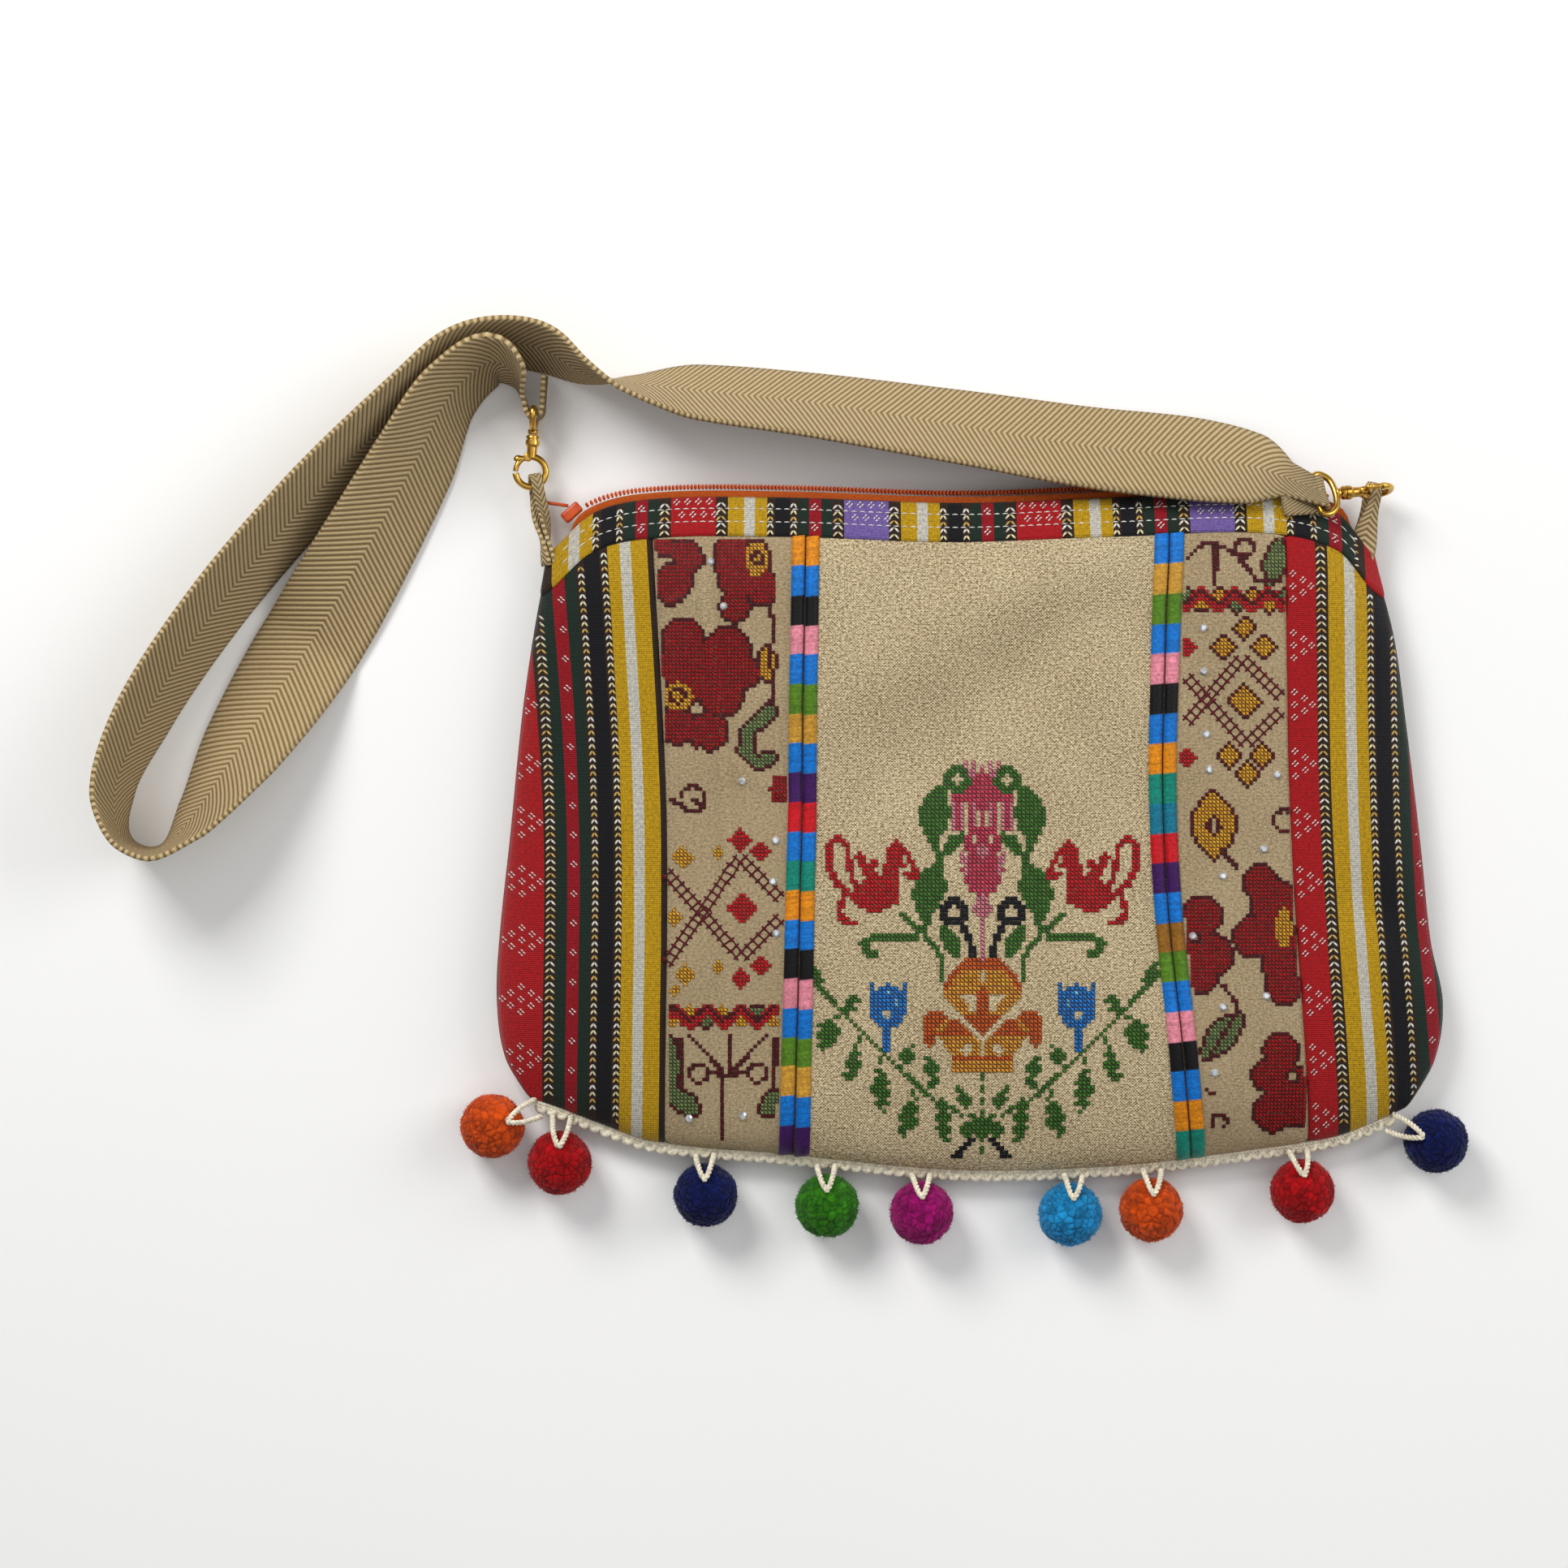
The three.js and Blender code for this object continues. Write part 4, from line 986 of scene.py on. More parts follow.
# The loop over each pompom: height in degrees, place across and gap to the yarn.
LOOP_STATIONS = ((24, -2.7, 0.4), (48, -1.3, -0.2), (58, 0, -0.6), (48, 1.3, -0.2), (24, 2.7, 0.4))
LOOP_CORD, LOOP_HALF, LOOP_STRAND, LOOP_TWIST = 1.1, 3.4, 0.62, 3.4
CREAM = rgb(248, 238, 212)
TRIM_NEAR, TRIM_OUT, TRIM_TALL, TRIM_PITCH = 2.1, 3.3, 2.6, 4.0
TRIM_FROM, TRIM_TO = -160.0, 156.0
TRIM_CORDS, TRIM_TWIST = ((-0.3, 0.55, 0.6), (-0.2, -0.6, 0.6), (0.9, 0.1, 0.55)), 2.6


def rim_frame(line_at, x, side):
    """Places on the hem or the zip line, the way along it and the way out of the bag."""
    x = np.asarray(x, float)
    level = np.zeros_like(x)
    run = unit(np.stack([level + 1, line_at(x + 0.5) - line_at(x - 0.5), level], axis=-1))
    out = np.stack([-run[..., 1], run[..., 0], level], axis=-1) * side
    return np.stack([x, line_at(x), level], axis=-1), run, out


def hem_frame(x):
    return rim_frame(hem_at, x, -1)


def zip_frame(x):
    return rim_frame(zip_at, x, 1)


def pompom(order, centre, dye_name):
    """A trimmed ball of yarn: tufts with clefts between them darkened by painted shade, and loose ends."""
    dye = YARNS[dye_name]
    ball = bpy.ops.mesh.primitive_ico_sphere_add
    piece = primitive("pompom_%d_yarn" % order, ball, subdivisions=6, radius=1)
    mesh = piece.data
    ways = places_of(mesh)
    draw = np.random.default_rng(40 + order)
    tufts = unit(draw.normal(size=(TUFTS, 3)))
    near = np.sort(ways @ tufts.T, axis=1)[:, -2:]
    which = np.argmax(ways @ tufts.T, axis=1)
    second, first = np.arccos(np.clip(near, -1, 1)).T
    cleft = np.clip((second - first) / CLEFT_WIDTH, 0, 1)
    lump = np.sin(ways @ vec(4.1, 2.3, 3.2) + order) * np.sin(ways @ vec(-2.7, 4.4, 1.9) + 2.0)
    radius = POMPOM_RADIUS * (0.915 + 0.05 * cleft + 0.02 * lump + draw.uniform(-0.012, 0.012, len(ways)))
    spots = ways * radius[:, None]
    spots[:, 2] = np.maximum(spots[:, 2], 0.25 - centre[2])
    put_places(mesh, spots + centre)
    # Each tuft has its own random tone, and painted shade darkens the clefts between tufts.
    shade = draw.uniform(0.72, 1.2, len(tufts))[which] * (0.62 + 0.38 * cleft)
    set_tint(mesh, [dyed(dye, by) for by in shade])
    bpy.ops.object.shade_smooth()
    mesh.materials.append(YARN.material)
    ends = Pile()
    for way in unit(draw.normal(size=(LOOSE_ENDS, 3))):
        if centre[2] + way[2] * POMPOM_RADIUS < 1.0:
            continue
        lean = unit(way + draw.normal(size=3) * 0.25)
        a = unit(np.cross(way, (0.3, 0.5, 0.81)))
        b = np.cross(way, a)
        foot = centre + way * POMPOM_RADIUS * 0.92
        tip = foot + lean * draw.uniform(0.7, 1.7)
        ends.add([foot + a * 0.22, foot - a * 0.11 + b * 0.19, foot - a * 0.11 - b * 0.19, tip],
                 [(0, 1, 3), (1, 2, 3), (2, 0, 3)], dyed(dye, draw.uniform(0.8, 1.3)))
    done(piece, "yarn_" + dye_name, "pompom_%d" % order)
    done(ends.piece("pompom_%d_ends" % order, YARN), "yarn_" + dye_name)


def pompoms():
    for order, (x, y, dye_name, foot_x) in enumerate(POMPOMS, 1):
        low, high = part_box("pompom_%d" % order)
        centre = vec(x, y, (low[2] + high[2]) / 2 / MM)
        pompom(order, centre, dye_name)
        spot, _, out = hem_frame(foot_x)
        foot = spot + out * (TRIM_NEAR + TRIM_OUT / 2)
        foot[2] = SEAM_Z + TRIM_TALL * 0.4 + 2 * GAP
        way = unit((foot - centre) * vec(1, 1, 0))
        side = vec(-way[1], way[0], 0)
        path = [foot - side * LOOP_HALF]
        for degrees, spread, clear in LOOP_STATIONS:
            reach, lift = POMPOM_RADIUS + LOOP_CORD + clear, math.radians(degrees)
            over = way * reach * math.cos(lift) + UP * reach * math.sin(lift)
            path.append(centre + over + side * spread)
        path.append(foot + side * LOOP_HALF)
        loop = Pile()
        plied(loop, curve_through(path, 72), LOOP_STRAND, LOOP_TWIST, CREAM)
        done(loop.piece("pompom_loop_%d_cord" % order, COTTON), "cream_cord", "pompom_loop_%d" % order)


def hem_trim():
    """Cream gimp: three running cords and a row of small loops."""
    trim = Pile()
    z = SEAM_Z - GAP / 2
    spots, _, out = hem_frame(np.linspace(TRIM_FROM, TRIM_TO, 500))
    for away, height, strand in TRIM_CORDS:
        plied(trim, spots + out * (TRIM_NEAR + away) + UP * (z + height), strand, TRIM_TWIST, CREAM)
    for k in range(int((TRIM_TO - TRIM_FROM) / TRIM_PITCH)):
        spot, run, out = hem_frame(TRIM_FROM + (k + 0.5) * TRIM_PITCH)
        size = rng.uniform(0.92, 1.06)
        turns = np.linspace(-0.15, math.pi + 0.15, 12)
        arch = [spot + run * 1.55 * math.cos(t) + out * (TRIM_NEAR + 0.5 + 2.0 * size * math.sin(t))
                + vec(0, 0, z + 0.35 * math.sin(2 * t)) for t in turns]
        trim.add(*tube(arch, 1.15, 7), dyed(CREAM, rng.uniform(0.92, 1.04)))
    done(trim.piece("hem_trim_gimp", COTTON), "cream_cord", "hem_trim")


# Zip: height of its middle, how far it stands out, the tape, coil, slider and pull.
ZIP_MIDDLE, ZIP_OUT, ZIP_TAPE = 8.9, 2.5, 1.1
COIL_FROM, COIL_TO, COIL_PITCH, COIL_WIRE = -139.5, 131.0, 1.35, 0.36
TAPE_FROM, TAPE_TO, TAPE_END = -154.0, 147.0, 12.0
SLIDER_AT, SLIDER, SLIDER_BEVEL = -143.5, (8.0, 4.2, 5.6), 0.9
PULL, PULL_BEVEL, PULL_OUT, PULL_TURN = (8.4, 1.2, 3.5), 0.5, 3.1, 172


def set_in_place(piece, origin, x_way, y_way, z_way):
    """Move a piece's mesh from its own axes to its place on the bag."""
    local = places_of(piece.data)
    put_places(piece.data, origin + local[:, :1] * x_way + local[:, 1:2] * y_way + local[:, 2:] * z_way)


def block(name, size, finish, bevel):
    """A block with rounded edges, in millimetres on its own axes."""
    piece = primitive(name, bpy.ops.mesh.primitive_cube_add, size=1)
    bpy.ops.object.mode_set(mode="EDIT")
    bpy.ops.mesh.select_all(action="SELECT")
    bpy.ops.transform.resize(value=size)
    bpy.ops.mesh.bevel(offset=bevel, segments=3, affect="EDGES")
    bpy.ops.object.mode_set(mode="OBJECT")
    bpy.ops.object.shade_smooth_by_angle()
    piece.data.materials.append(finish.material)
    return piece


def zip_pieces():
    face = ZIP_OUT + ZIP_TAPE + 2 * GAP

    def tape_place(u, v):
        x = lerp(TAPE_FROM, TAPE_TO, u)
        line, _, out = zip_frame(x)
        tuck, drop = np.clip(v / 0.4, 0, 1), np.clip((v - 0.4) / 0.6, 0, 1)
        proud = lerp(-2.2, ZIP_OUT + ZIP_TAPE, smooth(np.minimum(x - TAPE_FROM, TAPE_TO - x) / TAPE_END))
        spots = line + out * lerp(-2.4, proud, tuck)[:, None]
        spots[:, 2] = lerp(np.minimum(front(x, np.ones_like(x))[:, 2] + 0.2, 12.9), 5.4, drop)
        return spots, np.stack([x, v * 12], axis=-1)

    tape = cloth_piece("zip_tape_cloth", 160, 20, tape_place, ZIP_TAPE_CLOTH, ZIP_TAPE)
    cut_sheet(done(tape, "zip_orange", "zip_tape"))
    coil = Pile()
    for x in np.arange(COIL_FROM, COIL_TO, COIL_PITCH):
        spot, run, out = zip_frame(x)
        ring = [spot + out * (face + 1.0 + 0.72 * math.cos(t)) + run * 0.3 * math.sin(t)
                + vec(0, 0, ZIP_MIDDLE + 1.3 * math.sin(t)) for t in round_turns(10)]
        coil.add(*tube(ring, COIL_WIRE, 5, True), UNDYED)
    done(coil.piece("zip_coil_turns", ZIP_CLOTH), "zip_orange", "zip_coil")

    spot, run, out = zip_frame(SLIDER_AT)
    seat = spot + out * face + vec(0, 0, ZIP_MIDDLE)
    slider = block("zip_slider_body", SLIDER, ZIP_METAL, SLIDER_BEVEL)
    set_in_place(slider, seat + out * SLIDER[1] / 2, run, out, UP)
    done(slider, "zip_metal", "zip_slider")
    hinge = seat + out * (SLIDER[1] + GAP + 1.08)
    turn = math.radians(PULL_TURN)
    way = vec(math.cos(turn), math.sin(turn), 0)
    pull = block("zip_pull_blade", PULL, ZIP_METAL, PULL_BEVEL)
    set_in_place(pull, hinge + way * PULL_OUT, way, vec(-way[1], way[0], 0), UP)
    done(pull, "zip_metal", "zip_pull", body="zip_pull")


def stem_piece(name, steps):
    """A turned stem: a disc drawn out step by step along its axis."""
    disc = bpy.ops.mesh.primitive_circle_add
    piece = primitive(name, disc, vertices=24, radius=steps[0][0], fill_type="NGON")
    bpy.ops.object.mode_set(mode="EDIT")
    bpy.ops.mesh.select_all(action="SELECT")
    for (radius, height), (wider, higher) in zip(steps, steps[1:]):
        bpy.ops.mesh.extrude_region_move(TRANSFORM_OT_translate={"value": (0, 0, higher - height)})
        bpy.ops.transform.resize(value=(wider / radius, wider / radius, 1))
    bpy.ops.mesh.select_all(action="SELECT")
    bpy.ops.mesh.normals_make_consistent(inside=False)
    bpy.ops.object.mode_set(mode="OBJECT")
    bpy.ops.object.shade_smooth_by_angle()
    return piece


def joined(name, pieces):
    bpy.ops.object.select_all(action="DESELECT")
    for piece in pieces:
        piece.select_set(True)
    bpy.context.view_layer.objects.active = pieces[0]
    bpy.ops.object.join()
    pieces[0].name = pieces[0].data.name = name
    return pieces[0]


def rods(name, *parts):
    """Gold rods as one mesh, each by its points, radius, sides and whether it is closed."""
    pile = Pile()
    for part in parts:
        pile.add(*tube(*part), UNDYED)
    return pile.piece(name, GOLD)


# Hook pieces: stem and post by radius and height, the eye's bent wire, the gate's barrel and thumb nub.
STEM_STEPS = (
    (1.9, -0.1), (2.5, 0.3), (2.6, 1.0), (2.1, 1.2), (2.1, 1.6), (2.6, 1.8), (2.6, 3.4), (1.9, 4.4),
    (1.75, 8.3), (1.2, 8.7))
POST_HEIGHTS, POST_RADII = (-2.2, -2.0, -0.6, -0.3), (1.6, 1.95, 1.95, 1.7)
EYE_SHAPE = (
    (-9.5, -4.3), (-9.5, 0), (-9.5, 4.3), (-9.0, 7.9), (-6.84, 8.6), (-3.42, 6.2), (-2.1, 0), (-3.42, -6.2),
    (-6.84, -8.6), (-9.0, -7.9))
BARREL_ENDS, BARREL_RADII = (-1.2, -1.0, 1.0, 1.2), (1.4, 1.7, 1.7, 1.4)
NUB_RADII = (1.0, 1.0, 1.05, 1.15, 1.3, 1.45, 1.4, 1.1, 0.5)


def hooks():
    for side in HOOKS:
        seat, axis, lever, across, up = hook_basis(side)
        centre = ring_centre(side)

        def on_ring(x, y, z=0.0):
            return centre + axis * x + lever * y + across * z

        def arc(start, end, count):
            turns = np.radians(np.linspace(start, end, count))
            return [on_ring(RING * math.cos(t), RING * math.sin(t)) for t in turns]

        ring = rods("claw_wire", (arc(GATE_FROM - 14, -178, 56), WIRE, 14))
        stem = stem_piece("claw_stem", STEM_STEPS)
        stem.data.materials.append(GOLD.material)
        set_in_place(stem, seat, lever, across, axis)
        done(joined("hook_claw_%s_metal" % side, [ring, stem]), "gold_metal", "hook_claw_" + side)

        pivot = math.radians(GATE_PIVOT)
        px, py = RING * math.cos(pivot), RING * math.sin(pivot)
        barrel = [on_ring(px, py, z) for z in BARREL_ENDS]
        nub = [on_ring(px + 0.6 + 0.5 * s, py + 0.6 + 4.6 * s) for s in np.linspace(0, 1, len(NUB_RADII))]
        gate = rods("hook_gate_%s_metal" % side, (arc(GATE_FROM - 6, GATE_PIVOT - 2, 24), GATE_WIRE, 12),
                    (barrel, BARREL_RADII, 18), (nub, NUB_RADII, 12))
        done(gate, "gold_metal", "hook_gate_" + side, body="gate_" + side)

        bent = curve_through([seat + axis * a + up * b for a, b in EYE_SHAPE], 72, True)
        post = [seat + axis * a for a in POST_HEIGHTS]
        eye = rods("hook_eye_%s_metal" % side, (bent, WIRE, 12, True), (post, POST_RADII, 18))
        done(eye, "gold_metal", "hook_eye_" + side)


pompoms()
hem_trim()
zip_pieces()
hooks()


# Embroidery thread, and the faces of one raised stitch.
STITCH_DYES = {
    "red": rgb(190, 16, 24), "wine": rgb(88, 10, 20), "gold": rgb(226, 150, 34), "sage": rgb(108, 124, 74),
    "leaf": rgb(62, 108, 36), "rose": rgb(200, 62, 84), "petal": rgb(226, 122, 136), "rust": rgb(200, 84, 22),
    "amber": rgb(228, 142, 48), "azure": rgb(34, 112, 190), "ink": rgb(22, 20, 26), "poppy": rgb(152, 4, 10),
    "sky": rgb(110, 176, 224)}
BARE = ""
BAR_FACES = ((0, 1, 3), (0, 3, 2), (1, 4, 3), (5, 3, 4), (5, 6, 3), (6, 2, 3))
# Painted light on every stitch: a painted highlight on its crown and painted shade where it dips into the
# cloth.
BAR_PAINTED_LIGHT = (0.5, 0.5, 0.88, 1.28, 0.88, 0.5, 0.5)
PALEST = 0.9


def stitch_bars(pile, starts, ends, width, height, base, tints, behind=False):
    """Short raised stitches on the front or the back, between pairs of places seen from above."""
    starts, ends, tints = (np.asarray(a, float) for a in (starts, ends, tints))
    run = unit(ends - starts)
    side = np.stack([-run[:, 1], run[:, 0]], axis=-1) * width / 2
    mid = (starts + ends) / 2
    flat = np.stack([starts + side * 0.6, starts - side * 0.6, mid + side, mid, mid - side, ends - side * 0.6,
                     ends + side * 0.6], axis=1)
    lift = np.array([0.0, 0.0, height * 0.45, height, height * 0.45, 0.0, 0.0]) + base
    points = (on_back if behind else on_front)(flat[..., 0], flat[..., 1], lift[None, :])
    faces = (np.array(BAR_FACES)[None] + 7 * np.arange(len(starts))[:, None, None]).reshape(-1, 3)
    if behind:
        faces = faces[:, ::-1]
    # Painted highlight on each stitch's crown and painted shade at its ends.
    painted_light_tints = np.minimum(tints[:, None, :3] * np.array(BAR_PAINTED_LIGHT)[None, :, None], PALEST)
    alpha = np.ones((len(starts), 7, 1))
    pile.add(points, faces.tolist(), np.concatenate([painted_light_tints, alpha], axis=-1).reshape(-1, 4))


class Chart:
    """A count of cross stitches filled by simple shapes, in stitches or millimetres."""

    def __init__(self, low_x, high_x, low_y, high_y, step):
        self.x, self.y = np.meshgrid(np.arange(low_x, high_x + step / 2, step),
                                     np.arange(low_y, high_y + step / 2, step), indexing="ij")
        self.dye = np.full(self.x.shape, BARE, dtype="<U6")

    def oval(self, x, y, wide, tall, dye):
        self.dye[((self.x - x) / wide) ** 2 + ((self.y - y) / tall) ** 2 <= 1] = dye

    def leaf(self, x, y, wide, tall, dye, turn=0.0):
        c, s = math.cos(math.radians(turn)), math.sin(math.radians(turn))
        a, b = (self.x - x) * c + (self.y - y) * s, (self.y - y) * c - (self.x - x) * s
        self.dye[np.abs(a) / wide + (b / tall) ** 2 <= 1] = dye

    def lozenge(self, x, y, wide, tall, dye):
        self.dye[np.abs(self.x - x) / wide + np.abs(self.y - y) / tall <= 1] = dye

    def stroke(self, points, width, dye):
        for (ax, ay), (bx, by) in zip(points, points[1:]):
            length = max((bx - ax) ** 2 + (by - ay) ** 2, 1e-9)
            t = np.clip(((self.x - ax) * (bx - ax) + (self.y - ay) * (by - ay)) / length, 0, 1)
            away = np.hypot(self.x - ax - t * (bx - ax), self.y - ay - t * (by - ay))
            self.dye[away <= width / 2] = dye

    def strokes(self, dye, *rows):
        """Lines of stitches of one dye, each row a width and the points it passes."""
        for width, *points in rows:
            self.stroke(points, width, dye)

    def ring(self, x, y, radius, width, dye, start=0, end=360):
        turns = np.radians(np.linspace(start, end, 25))
        self.stroke([(x + radius * math.cos(t), y + radius * math.sin(t)) for t in turns], width, dye)

    def outline(self, inside, dye):
        """A row of stitches round every stitch of one of these dyes, on bare cloth."""
        full = np.isin(self.dye, inside)
        near = np.zeros_like(full)
        near[1:] |= full[:-1]
        near[:-1] |= full[1:]
        near[:, 1:] |= full[:, :-1]
        near[:, :-1] |= full[:, 1:]
        self.dye[near & (self.dye == BARE)] = dye

    def serrate(self, dye):
        """Drop every third stitch along the rim of a shape, so that its edge has teeth."""
        full = np.pad(self.dye == dye, 1)
        rim = full[1:-1, 1:-1] & ~(full[2:, 1:-1] & full[:-2, 1:-1] & full[1:-1, 2:] & full[1:-1, :-2])
        i, j = np.indices(self.dye.shape)
        self.dye[rim & ((i + 2 * j) % 3 == 0)] = BARE

    def mirror(self):
        """Repeat the right half on the left."""
        half = self.dye.shape[0] // 2
        self.dye[:half] = self.dye[:half:-1]


CROSS_ARM, CROSS_WIDTH, CROSS_HEIGHT = 0.44, 0.4, 0.5
# A dark square of painted shade under each cross, as a share of its square and dye.
UNDER_SQUARE, UNDER_PAINTED_SHADE, UNDER_LIFT = 0.48, (0.16, 0.16, 0.16, 1), 0.22


def cross_stitches(name, chart, origin, unit_size, step, slot, keep=None):
    i, j = np.nonzero(chart.dye != BARE)
    x, y = origin[0] + chart.x[i, j] * unit_size, origin[1] + chart.y[i, j] * unit_size
    wobble = np.random.default_rng(len(i)).uniform(-0.07, 0.07, (2, len(i)))
    x, y = x + wobble[0], y + wobble[1]
    dyes = chart.dye[i, j]
    if keep:
        inside = keep(x, y)
        x, y, dyes = x[inside], y[inside], dyes[inside]
    shade = np.random.default_rng(3).uniform(0.8, 1.18, len(x))
    tints = np.array([dyed(STITCH_DYES[d], s) for d, s in zip(dyes, shade)])
    pile = Pile()
    half = step * UNDER_SQUARE
    corners = ((-half, -half), (half, -half), (half, half), (-half, half))
    # Dark squares of painted shade under and between the crosses.
    painted_shade_squares = np.stack([on_front(x + a, y + b, UNDER_LIFT) for a, b in corners], axis=1)
    squares = (np.arange(4)[None] + 4 * np.arange(len(x))[:, None]).tolist()
    pile.add(painted_shade_squares, squares, np.repeat(tints * UNDER_PAINTED_SHADE, 4, axis=0))
    arm = step * CROSS_ARM
    # Both bars are toned up to make up for the painted shade at their ends; the lower bar is painted darker
    # than the upper one that lies over it, as painted shade.
    for slant, base, tone in ((1, 0.05, 1.08), (-1, 0.2, 1.36)):
        starts = np.stack([x - arm, y - arm * slant], axis=-1)
        ends = np.stack([x + arm, y + arm * slant], axis=-1)
        stitch_bars(pile, starts, ends, step * CROSS_WIDTH, CROSS_HEIGHT, base, tints * (tone, tone, tone, 1))
    return done(pile.piece(name, SILK), slot)


# Centre motif: half of it is charted in stitches from the middle of its foot, then mirrored.
STITCH = 1.5
MOTIF_ORIGIN = (3.9, -119.2)


def bird(chart):
    chart.oval(26.5, 64.6, 5.6, 4.0, "red")
    chart.strokes("red", (4.2, (22.8, 64), (22.4, 70), (21, 76)), (2.2, (24, 68), (28, 70), (30, 74)),
        (1.6, (27.5, 69.5), (26.5, 73)), (1.7, (21, 77.5), (18.5, 75), (17, 72), (16.5, 69.5), (18.5, 70)),
        (1.3, (19, 72), (20.5, 72.5)),
        (1.5, (31, 66.5), (32.5, 71), (33, 76), (35, 79), (37.5, 77), (37.8, 72), (35.5, 67.5), (32.5, 65)),
        (1.5, (33.5, 65), (35.2, 61), (34, 58.4), (31.4, 58.2)))


def rose_column(chart):
    for reach in (0, 2.4, 4.4):
        chart.stroke([(reach * 0.5, 93.5), (reach, 97.5 if reach else 95.5)], 1.0, "petal")
    chart.lozenge(0, 90, 4.6, 5.4, "rose")
    chart.stroke([(0, 88.4), (6.6, 88.4)], 1.7, "rose")
    for column, dye in ((0, "rose"), (2, "petal"), (3, "rose"), (5, "petal"), (6, "rose"), (7, "petal")):
        chart.stroke([(column, 87.5), (column, 81.0 - 0.3 * (column > 5))], 0.9, dye)
    chart.oval(0, 77.5, 4.3, 4.2, "rose")
    chart.oval(0, 71, 5.0, 6.4, "rose")
    chart.stroke([(5.4, 75.5), (5.4, 72.5)], 1.1, "petal")
    chart.stroke([(2, 79.5), (2, 78)], 0.9, BARE)
    chart.stroke([(3.6, 74.5), (3.6, 70)], 0.9, "petal")
    chart.lozenge(0, 75.5, 1.6, 1.6, "petal")
    chart.lozenge(0, 61.6, 2.8, 3.8, "petal")
    chart.lozenge(0, 61.8, 0.9, 1.2, "gold")
    chart.stroke([(0, 65), (0, 49)], 1.2, "petal")


def scrolls(chart):
    chart.oval(5.9, 93.0, 3.4, 3.2, "leaf")
    chart.lozenge(5.8, 93.0, 1.4, 1.2, BARE)
    chart.stroke([(8.4, 91.4), (9.6, 89)], 1.9, "leaf")
    chart.leaf(11.6, 84.5, 3.7, 7.6, "leaf", 8)
    chart.stroke([(11.6, 78), (10.6, 74), (11, 70)], 1.9, "leaf")
    chart.leaf(7.2, 77.4, 1.8, 3.6, "leaf", 40)
    chart.stroke([(9, 75.4), (11, 74)], 1.2, "leaf")
    chart.leaf(13.0, 66.0, 4.0, 7.4, "leaf", 16)
    chart.strokes("leaf", (1.8, (13.6, 59.4), (14, 57), (16.4, 55.2)),
        (2.1, (16.4, 54.8), (26.6, 54.6), (29, 53.2), (28.4, 51.2), (26.4, 50.6)),
        (1.4, (15, 56.2), (20.4, 60.4)), (1.3, (14.2, 55.2), (11, 51.4), (9.6, 47.6), (10.4, 44.4)))
    chart.leaf(7.7, 53.4, 2.2, 4.8, "leaf", -30)
    chart.ring(6.9, 60.8, 2.5, 2.2, "ink")
    chart.lozenge(6.9, 60.8, 1.5, 1.5, BARE)
    chart.stroke([(5.0, 58.0), (3.4, 54.4), (2.0, 49.6)], 1.7, "ink")


def amber_flower(chart):
    dome = ((31, 0.4), (34, 2.8), (36.6, 5.2), (38.6, 7.8), (41, 9.2), (43, 9.0), (46, 7.2), (49, 4.4))
    pot = ((22, 6.8), (26, 7.2), (28.6, 9.0), (30, 10.4), (34, 11.0))
    for row in range(22, 35):
        reach = np.interp(row, *zip(*pot))
        chart.stroke([(0, row), (reach, row)], 1.0, "rust" if row > 30 or row == 25 else "amber")
    chart.oval(11.4, 34.0, 3.2, 2.8, "rust")
    chart.stroke([(12.8, 34), (12.9, 29.6)], 3.4, "rust")
    chart.stroke([(8.8, 33.6), (11.4, 31.6)], 1.4, "amber")
    chart.stroke([(8.6, 38.0), (4.4, 34.2), (0.4, 30.2)], 2.4, BARE)
    for row in range(31, 50):
        reach = np.interp(row, *zip(*dome))
        chart.stroke([(0, row), (reach, row)], 1.0, "rust" if row < 36 or row > 46 else "amber")
    chart.strokes("rust", (2.6, (0, 41), (0, 36)), (1.4, (4.6, 47.4), (7.4, 45), (8.9, 42)))
    chart.stroke([(2.4, 45), (5.2, 43.6)], 1.4, "gold")
    for row in range(37, 41):
        chart.stroke([(2, row), (2 + (row - 36.4) * 0.9, row)], 1.0, BARE)
    chart.stroke([(0, 46.4), (0, 44.4)], 1.0, BARE)
    chart.lozenge(3.9, 27.4, 1.5, 1.7, BARE)
    chart.stroke([(0, 30), (0, 26)], 1.0, BARE)


def tulip(chart):
    chart.oval(23.2, 37.4, 4.6, 5.4, "azure")
    for x in (19, 21.1, 23.2, 25.3, 27.4):
        chart.stroke([(x, 39.5), (x, 43 if x in (19, 23.2, 27.4) else 40.5)], 1.1, "azure")
    for x, y in ((21, 38.6), (25.4, 38.6), (23.2, 40.6), (22.4, 35.4), (24.2, 35.4), (23.2, 34.6)):
        chart.lozenge(x, y, 0.7, 0.7, "sky")
    chart.lozenge(23.2, 35.8, 1.2, 1.2, BARE)
    chart.stroke([(23.2, 33), (23.2, 27.2)], 1.9, "azure")


